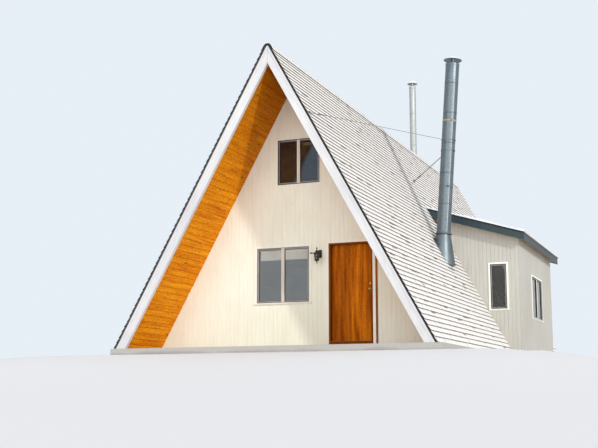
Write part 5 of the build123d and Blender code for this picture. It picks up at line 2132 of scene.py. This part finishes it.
@dataclass(frozen=True)
class Flue:
    """A metal flue with rolled beads at its joints, a lock seam, a storm collar and a rain cap.

    Attributes:
        name: Name that its pieces start with.
        finish: Its metal.
        foot: Where its axis meets the roof's face.
        lean: How far it leans to the right, in degrees.
        radius: Outer radius.
        wall: Thickness of the insulated wall.
        start: Where the pipe starts along its axis.
        length: Where it ends.
        cone: Height of the flashing's cone.
        joints: Where its lengths are joined.
        bands: Where draw bands are.
        seam: Which way the lock seam faces, in degrees.
        rise: How far the cap's brim is over the pipe.
        peak: Height of the cap.
        overhang: How far the brim stands out.
    """

    name: str
    finish: Finish
    foot: Point
    lean: float
    radius: float
    wall: float
    start: float
    length: float
    cone: float
    joints: tuple[float, ...]
    bands: tuple[float, ...] = ()
    seam: float = -48.0
    rise: float = 0.09
    peak: float = 0.08
    overhang: float = 0.055

    def ears(self, height: float, facing: float) -> list[Mesh]:
        """Two lugs drawn together by a bolt, as on a pipe band.

        Args:
            height: Middle of the band along the axis.
            facing: Which way they look, in degrees.

        Returns:
            Their meshes.
        """
        near = self.radius + 0.004
        lugs = [eased(block((near, out - 0.002, -0.015), (near + 0.026, out + 0.002, 0.015)), 0.001)
                for out in (-0.010, 0.010)]
        middle = near + 0.014
        shank = rod([(middle, -0.024, 0), (middle, 0.024, 0)], (0.004, 0.004), 10)
        nuts = [rod([(middle, side * 0.013, 0), (middle, side * 0.019, 0)], (0.008, 0.008), 6)
                for side in (-1, 1)]
        turn = turn_about("Z", facing) @ shift(0, 0, height)
        return [moved(part, turn) for part in (*lugs, shank, *nuts)]

    def hoop(self, height: float) -> Mesh:
        """A band with rolled edges.

        Args:
            height: Its middle along the axis.

        Returns:
            The mesh.
        """
        r = self.radius
        line = [(r, -0.0225), (r + 0.004, -0.0225), (r + 0.0062, -0.019), (r + 0.004, -0.015),
                (r + 0.004, 0.015), (r + 0.0062, 0.019), (r + 0.004, 0.0225), (r, 0.0225)]
        return moved(turned(line, 64, hollow=True), shift(0, 0, height))

    def pipe(self) -> Mesh:
        """The pipe, with a bead at each joint."""
        r = self.radius
        line = [(r, self.start)]
        for joint in self.joints:
            line += [(r, joint - 0.016), (r - 0.004, joint - 0.011), (r - 0.004, joint - 0.005),
                     (r + 0.004, joint), (r + 0.004, joint + 0.007), (r, joint + 0.012)]
        line += [(r, self.length - 0.008), (r - 0.003, self.length), (r - self.wall, self.length),
                 (r - self.wall, self.start)]
        return turned(line, 72, hollow=True)

    def storm_collar(self) -> Mesh:
        """The skirt over the flashing's cone."""
        r, top = self.radius + 0.0004, self.cone + 0.045
        return turned([(r, top), (r + 0.004, top), (r + 0.006, top - 0.012), (r + 0.044, top - 0.052),
                       (r + 0.045, top - 0.058), (r + 0.042, top - 0.056), (r, top - 0.014)], 64, hollow=True)

    @property
    def cap_sizes(self) -> tuple[float, float, float]:
        """The brim's radius, its height and the height of the cap's tip."""
        base = self.length + self.rise
        return self.radius + self.overhang, base, base + self.peak

    def cap(self) -> Mesh:
        """The cap's cone with a rolled brim."""
        brim, base, tip = self.cap_sizes
        return turned([(0, tip + 0.006), (0.012, tip + 0.002), (brim - 0.006, base + 0.005),
                       (brim, base + 0.003), (brim + 0.003, base - 0.002), (brim, base - 0.007),
                       (brim - 0.005, base - 0.005), (brim - 0.006, base), (0, tip - 0.006)], 64)

    def snow(self) -> Mesh:
        """Snow that lies on the cap."""
        brim, base, tip = self.cap_sizes
        return turned([(0, tip + 0.030), (brim * 0.2, tip + 0.016),
                       (brim * 0.45, base + self.peak * 0.62 + 0.024),
                       (brim * 0.75, base + self.peak * 0.30 + 0.021), (brim * 0.92, base + 0.021),
                       (brim * 0.985, base + 0.010), (brim * 0.97, base + 0.002), (0, tip - 0.004)], 48)

    def build(self) -> None:
        """Builds the flue and its cap."""
        turn = shift(*self.foot) @ turn_about("Y", self.lean)
        place(self.name + "_pipe", [self.pipe()], self.finish, "galvanised", turn, (self.name,))
        # The lock seam in a paler steel than the pipe: a real seam with a painted highlight down it.
        seam = block((self.radius - 0.003, -0.008, self.cone),
                     (self.radius + 0.003, 0.008, self.length - 0.012))
        place(self.name + "_seam", [moved(eased(seam, 0.001), turn_about("Z", self.seam))], PALE_STEEL,
              "galvanised", turn)
        place(self.name + "_storm_collar", [self.storm_collar()], GALVANISED, "galvanised", turn)
        place(self.name + "_cap", [self.cap()], self.finish, "galvanised", turn, ("flue_caps",))
        place(self.name + "_cap_snow", [self.snow()], SNOW, "white_paint", turn)
        strap = bar([(-0.0005, -0.07), (0.003, -0.07), (0.003, -0.002), (0.019, self.rise + 0.008),
                     (0.0155, self.rise + 0.009), (-0.0005, 0.0)], -0.015, 0.015)
        RINGS.run(self.name + "_cap_straps", self.finish, "galvanised", turn=turn @ shift(0, 0, self.length),
                  replaced=("flue_caps",), Piece=eased(strap, 0.0008), Count=4, Radius=self.radius,
                  First_Angle=math.radians(20))
        for number, height in enumerate(self.bands, 1):
            place(f"{self.name}_band_{number}", [self.hoop(height), *self.ears(height, -60)],
                  TAN_BAND if number == len(self.bands) else GALVANISED, "galvanised", turn)


@dataclass
class FlueSet:
    """Both flues, and the fittings of the near one's stays.

    Attributes:
        collars: Heights of the stays' collars along the near flue.
        cable: Foot and top of the cable.
        rod: Foot and top of the rod.
    """

    collars: tuple[float, float] = (2.777, 2.516)
    cable: tuple[Point, Point] = ((0.917, -7.800, 4.851), (2.2757, -2.2025, 5.440))
    rod: tuple[Point, Point] = ((0.899, -0.225, 4.884), (2.190, -1.890, 5.172))

    @staticmethod
    def along(line: tuple[Point, Point], stations: Sequence[tuple[float, float]], sides: int) -> Mesh:
        """A fitting on a stay.

        Args:
            line: The stay's foot and top.
            stations: Distances from the foot with the radius at each.
            sides: How many sides it has.

        Returns:
            The mesh.
        """
        foot = Vector(line[0])
        way = (Vector(line[1]) - foot).normalized()
        return rod([foot + way * far for far, _ in stations], [radius for _, radius in stations], sides)

    def fittings(self, name: str, line: tuple[Point, Point], thick: float) -> None:
        """A turnbuckle near a stay's foot, clamps or nuts beside it, and four bolts in the pad.

        Args:
            name: The stay's CAD node.
            line: The stay's foot and top.
            thick: The stay's radius.
        """
        body = [(0.26, thick), (0.27, thick + 0.006), (0.29, thick + 0.006), (0.30, thick + 0.009),
                (0.44, thick + 0.009), (0.45, thick + 0.006), (0.47, thick + 0.006), (0.48, thick)]
        parts = [self.along(line, body, 20)]
        parts += [self.along(line, [(far, thick + 0.006), (far + 0.012, thick + 0.006)], 6)
                  for far in (0.10, 0.14, 0.18, 0.56)]
        place(name + "_fittings", parts, STEEL, "galvanised")
        head = rod([(0, 0, -0.002), (0, 0, 0.006)], (0.007, 0.007), 6)
        turn = shift(*line[0]) @ Matrix.Rotation(ROOF_PITCH, 4, "Y")
        RINGS.run(name + "_pad_bolts", STEEL, "galvanised", turn=turn, Piece=head, Count=4, Radius=0.036,
                  First_Angle=math.radians(45))

    def build(self) -> None:
        """Builds the flues and the fittings."""
        near = Flue("near_flue", GALVANISED, foot=(2.1, -2.03, 2.688), lean=4.4, radius=0.17, wall=0.025,
                    start=-0.10, length=4.75, cone=0.43, joints=(1.17, 1.95, 2.70, 3.47, 4.23),
                    bands=(1.60, 3.27))
        rear = Flue("rear_flue", PALE_STEEL, foot=(-0.29, 3.878, 5.953), lean=0.0, radius=0.10, wall=0.015,
                    start=-0.06, length=2.84, cone=0.26, joints=(0.95, 1.95))
        near.build()
        rear.build()
        turn = shift(*near.foot) @ turn_about("Y", near.lean)
        ears = [part for height in self.collars for part in near.ears(height, -20)]
        place("flue_collar_bolts", ears, STEEL, "galvanised", turn)
        self.fittings("flue_cable", self.cable, 0.005)
        self.fittings("flue_rod", self.rod, 0.010)


@dataclass
class RakeBoards:
    """The stepped boards under both ends of the roof, mitred at the ridge.

    Attributes:
        zones: Depth under the roof's face where each strip starts and ends, and how far back its face is.
        face: Distance of the foremost face from the middle of the cabin.
        back: Distance of the boards' back.
        gap: Half the mitre's gap.
        level: Height at which the ridge cap ends them.
        nails: Nails in each board.
        nail_depth: Depth of their row under the roof's face.
        nail_start: Distance of the first one from the cabin's middle.
        nail_pitch: Run from nail to nail.
    """

    zones: tuple[Point, ...] = ((0.032, 0.095, 0.0), (0.095, 0.222, 0.009), (0.222, 0.237, 0.004))
    face: float = 7.92
    back: float = 7.83
    gap: float = 0.0012
    level: float = 6.3872
    nails: int = 17
    nail_depth: float = 0.16
    nail_start: float = 0.12
    nail_pitch: float = 0.4

    def strip(self, top: float, bottom: float, recess: float) -> Mesh:
        """One strip of the front right board.

        Args:
            top: Depth under the roof's face where it starts.
            bottom: Depth where it ends.
            recess: How far back its face is.

        Returns:
            The mesh.
        """
        slope = math.tan(ROOF_PITCH)

        def peak(depth: float) -> float:
            """Height of a line at this depth over the cabin's middle."""
            return ROOF.ridge - depth / math.cos(ROOF_PITCH)

        high = peak(top) - self.gap * slope
        start = [(self.gap, high)]
        if high > self.level:
            start = [(self.gap, self.level), ((peak(top) - self.level) / slope, self.level)]
        line = [*start, ((peak(top) - ROOF.ground) / slope, ROOF.ground),
                ((peak(bottom) - ROOF.ground) / slope, ROOF.ground),
                (self.gap, peak(bottom) - self.gap * slope)]
        return eased(bar(line, recess - self.face, -self.back), 0.0022)

    def build(self) -> None:
        """Builds the boards of both ends, with nails down their middle."""
        mirror = Matrix.Scale(-1, 4, (1, 0, 0))
        for name, turn in (("front", Matrix.Identity(4)), ("rear", turn_about("Z", 180))):
            parts = []
            for zone in self.zones:
                left = moved(self.strip(*zone), mirror)
                left.flip_normals()
                parts += [self.strip(*zone), left]
            place(name + "_rake_strips", parts, TRIM_PAINT, "white_paint", turn, (name + "_rake_boards",))
            head = moved(turned([(0, 0.0012), (0.003, 0.001), (0.004, -0.001)], 10), turn_about("X", 90))
            depth = self.nail_depth / math.cos(ROOF_PITCH)
            height = ROOF.ridge - depth - self.nail_start * math.tan(ROOF_PITCH)
            run, fall = self.nail_pitch * math.cos(ROOF_PITCH), self.nail_pitch * math.sin(ROOF_PITCH)
            for side, hand in ((-1, "left"), (1, "right")):
                LINES.run(f"{name}_rake_nails_{hand}", TRIM_PAINT, "white_paint", turn=turn,
                          Piece=head.copy(), Count=self.nails,
                          Start=(side * self.nail_start, self.zones[1][2] - self.face, height),
                          Step=(side * run, 0.0, -fall), Wobble=0.0004)
            bpy.data.meshes.remove(head)


@dataclass
class BaySnow:
    """Snow on the bay's roof, uneven at its edges, and the dark metal edge under it.

    Attributes:
        low: Corner nearest the main roof and the front, in X and Y.
        high: The opposite corner.
        depth: How deep the snow lies.
        columns: Steps across.
        rows: Steps along.
        over: Height of its bed over the shingles' plane.
        drip: Where the metal edge hangs, in X and Z.
    """

    low: tuple[float, float] = (1.29, -0.722)
    high: tuple[float, float] = (3.874, 4.702)
    depth: float = 0.075
    columns: int = 60
    rows: int = 124
    over: float = 0.006
    drip: tuple[float, float] = (3.855, 3.2655)

    def surface(self, x: float) -> float:
        """Height of the shingles there, on the bay or a little way up the main roof."""
        past = x - BAY.peak[0]
        slope = ROOF_PITCH if past < 0 else math.radians(BAY.pitch)
        return BAY.peak[1] + self.over - math.tan(slope) * past

    def build(self) -> None:
        """Lays the snow and fits the edge."""
        wide, deep = self.columns + 1, self.rows + 1
        top: list[Point] = []
        for row in range(deep):
            for column in range(wide):
                u, v = column / self.columns, row / self.rows
                x = self.low[0] + (self.high[0] - self.low[0]) * u
                y = self.low[1] + (self.high[1] - self.low[1]) * v
                ragged = noise.noise((x * 5.0, y * 5.0, 3.0))
                edge = min(self.high[0] - x, y - self.low[1], self.high[1] - y)
                rounding = min(1.0, max(0.0, (edge + 0.004) / 0.09)) ** 0.5
                broad, fine = noise.noise((x * 2.1, y * 2.1, 0.0)), noise.noise((x * 9, y * 9, 1.0))
                lumps = 0.75 + 0.5 * broad + 0.35 * fine
                lift = self.depth * rounding * max(0.12, lumps) * min(1.0, (x - self.low[0]) / 0.1 + 0.15)
                pull = 0.014 * ragged if edge < 0.02 else 0.0
                top.append((x - pull * (u > 0.5), y + pull * (v < 0.5) - pull * (v > 0.5),
                            self.surface(x) + lift))
        under = [(x, y, self.surface(x) - 0.004) for x, y, _ in top]
        count = wide * deep
        faces: list[tuple[int, ...]] = []
        for base in (0, count):
            faces += [(base + r * wide + c, base + r * wide + c + 1, base + (r + 1) * wide + c + 1,
                       base + (r + 1) * wide + c) for r in range(self.rows) for c in range(self.columns)]
        rim = [*range(wide), *(r * wide + self.columns for r in range(1, deep)),
               *(self.rows * wide + c for c in reversed(range(self.columns))),
               *(r * wide for r in reversed(range(1, self.rows)))]
        faces += [(a, b, b + count, a + count) for a, b in zip(rim, rim[1:] + rim[:1])]
        sheet = poly_mesh("bay_snow", top + under, faces)
        sheet.shade_smooth()
        place("bay_snow", [sheet], SNOW, "shingles")
        line = [(0.0, 0.0), (0.012, -0.002), (0.014, -0.030), (0.018, -0.034), (0.017, -0.036),
                (0.011, -0.033), (0.010, -0.006), (-0.002, -0.004)]
        x, z = self.drip
        eave = bar([(x + out, z + up) for out, up in line], self.low[1] + 0.008, self.high[1] - 0.008)
        place("bay_drip_edge", [eave], BLACK_METAL, "dark_metal")


@dataclass
class FrameDress:
    """Finishes for the parts of the frame that keep their own shape."""

    def build(self) -> None:
        """Gives each part its finish."""
        finishes: dict[Finish, tuple[str, ...]] = {
            JAMB_WOOD: ("door_frame",),
            DARK_TRIM: ("bay_fascia",),
            ROUGH_WOOD: ("roof_panel_left", "roof_panel_right_front", "roof_panel_right_upper",
                         "roof_panel_right_rear", "bay_roof_panel"),
            BLACK_METAL: ("rake_drip_edges", "ridge_cap"),
            GALVANISED: ("flue_flashings", "flue_collars"),
            STEEL: ("flue_cable", "flue_rod"),
            SHINGLE: ("shingles_left", "shingles_right_front", "shingles_right_upper", "shingles_right_rear",
                      "bay_shingles"),
            CONCRETE: ("foundation_slab",),
            WINDOW_GLASS: ("window_glass",),
            LANTERN_GLASS: ("lantern_glass",),
        }
        for finish, names in finishes.items():
            for name in names:
                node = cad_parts[name]
                node.data.materials.clear()
                node.data.materials.append(finish.material())


def main() -> None:
    """Builds the studio and the cabin's pieces in order."""
    logging.basicConfig(level=logging.INFO, format="%(name)s: %(message)s")
    Studio().build()
    log.info("studio set")
    FrameDress().build()
    log.info("frame dressed")
    for label, part in (("roof courses", RoofCourses()), ("ridge shingles", RidgeShingles()),
                        ("boarding", Boarding()), ("windows", Windows()), ("door", DoorSet()),
                        ("lantern", Lantern()), ("flues", FlueSet()), ("rake boards", RakeBoards()),
                        ("bay snow", BaySnow())):
        part.build()
        log.info("%s built", label)


if __name__ == "__main__":
    main()
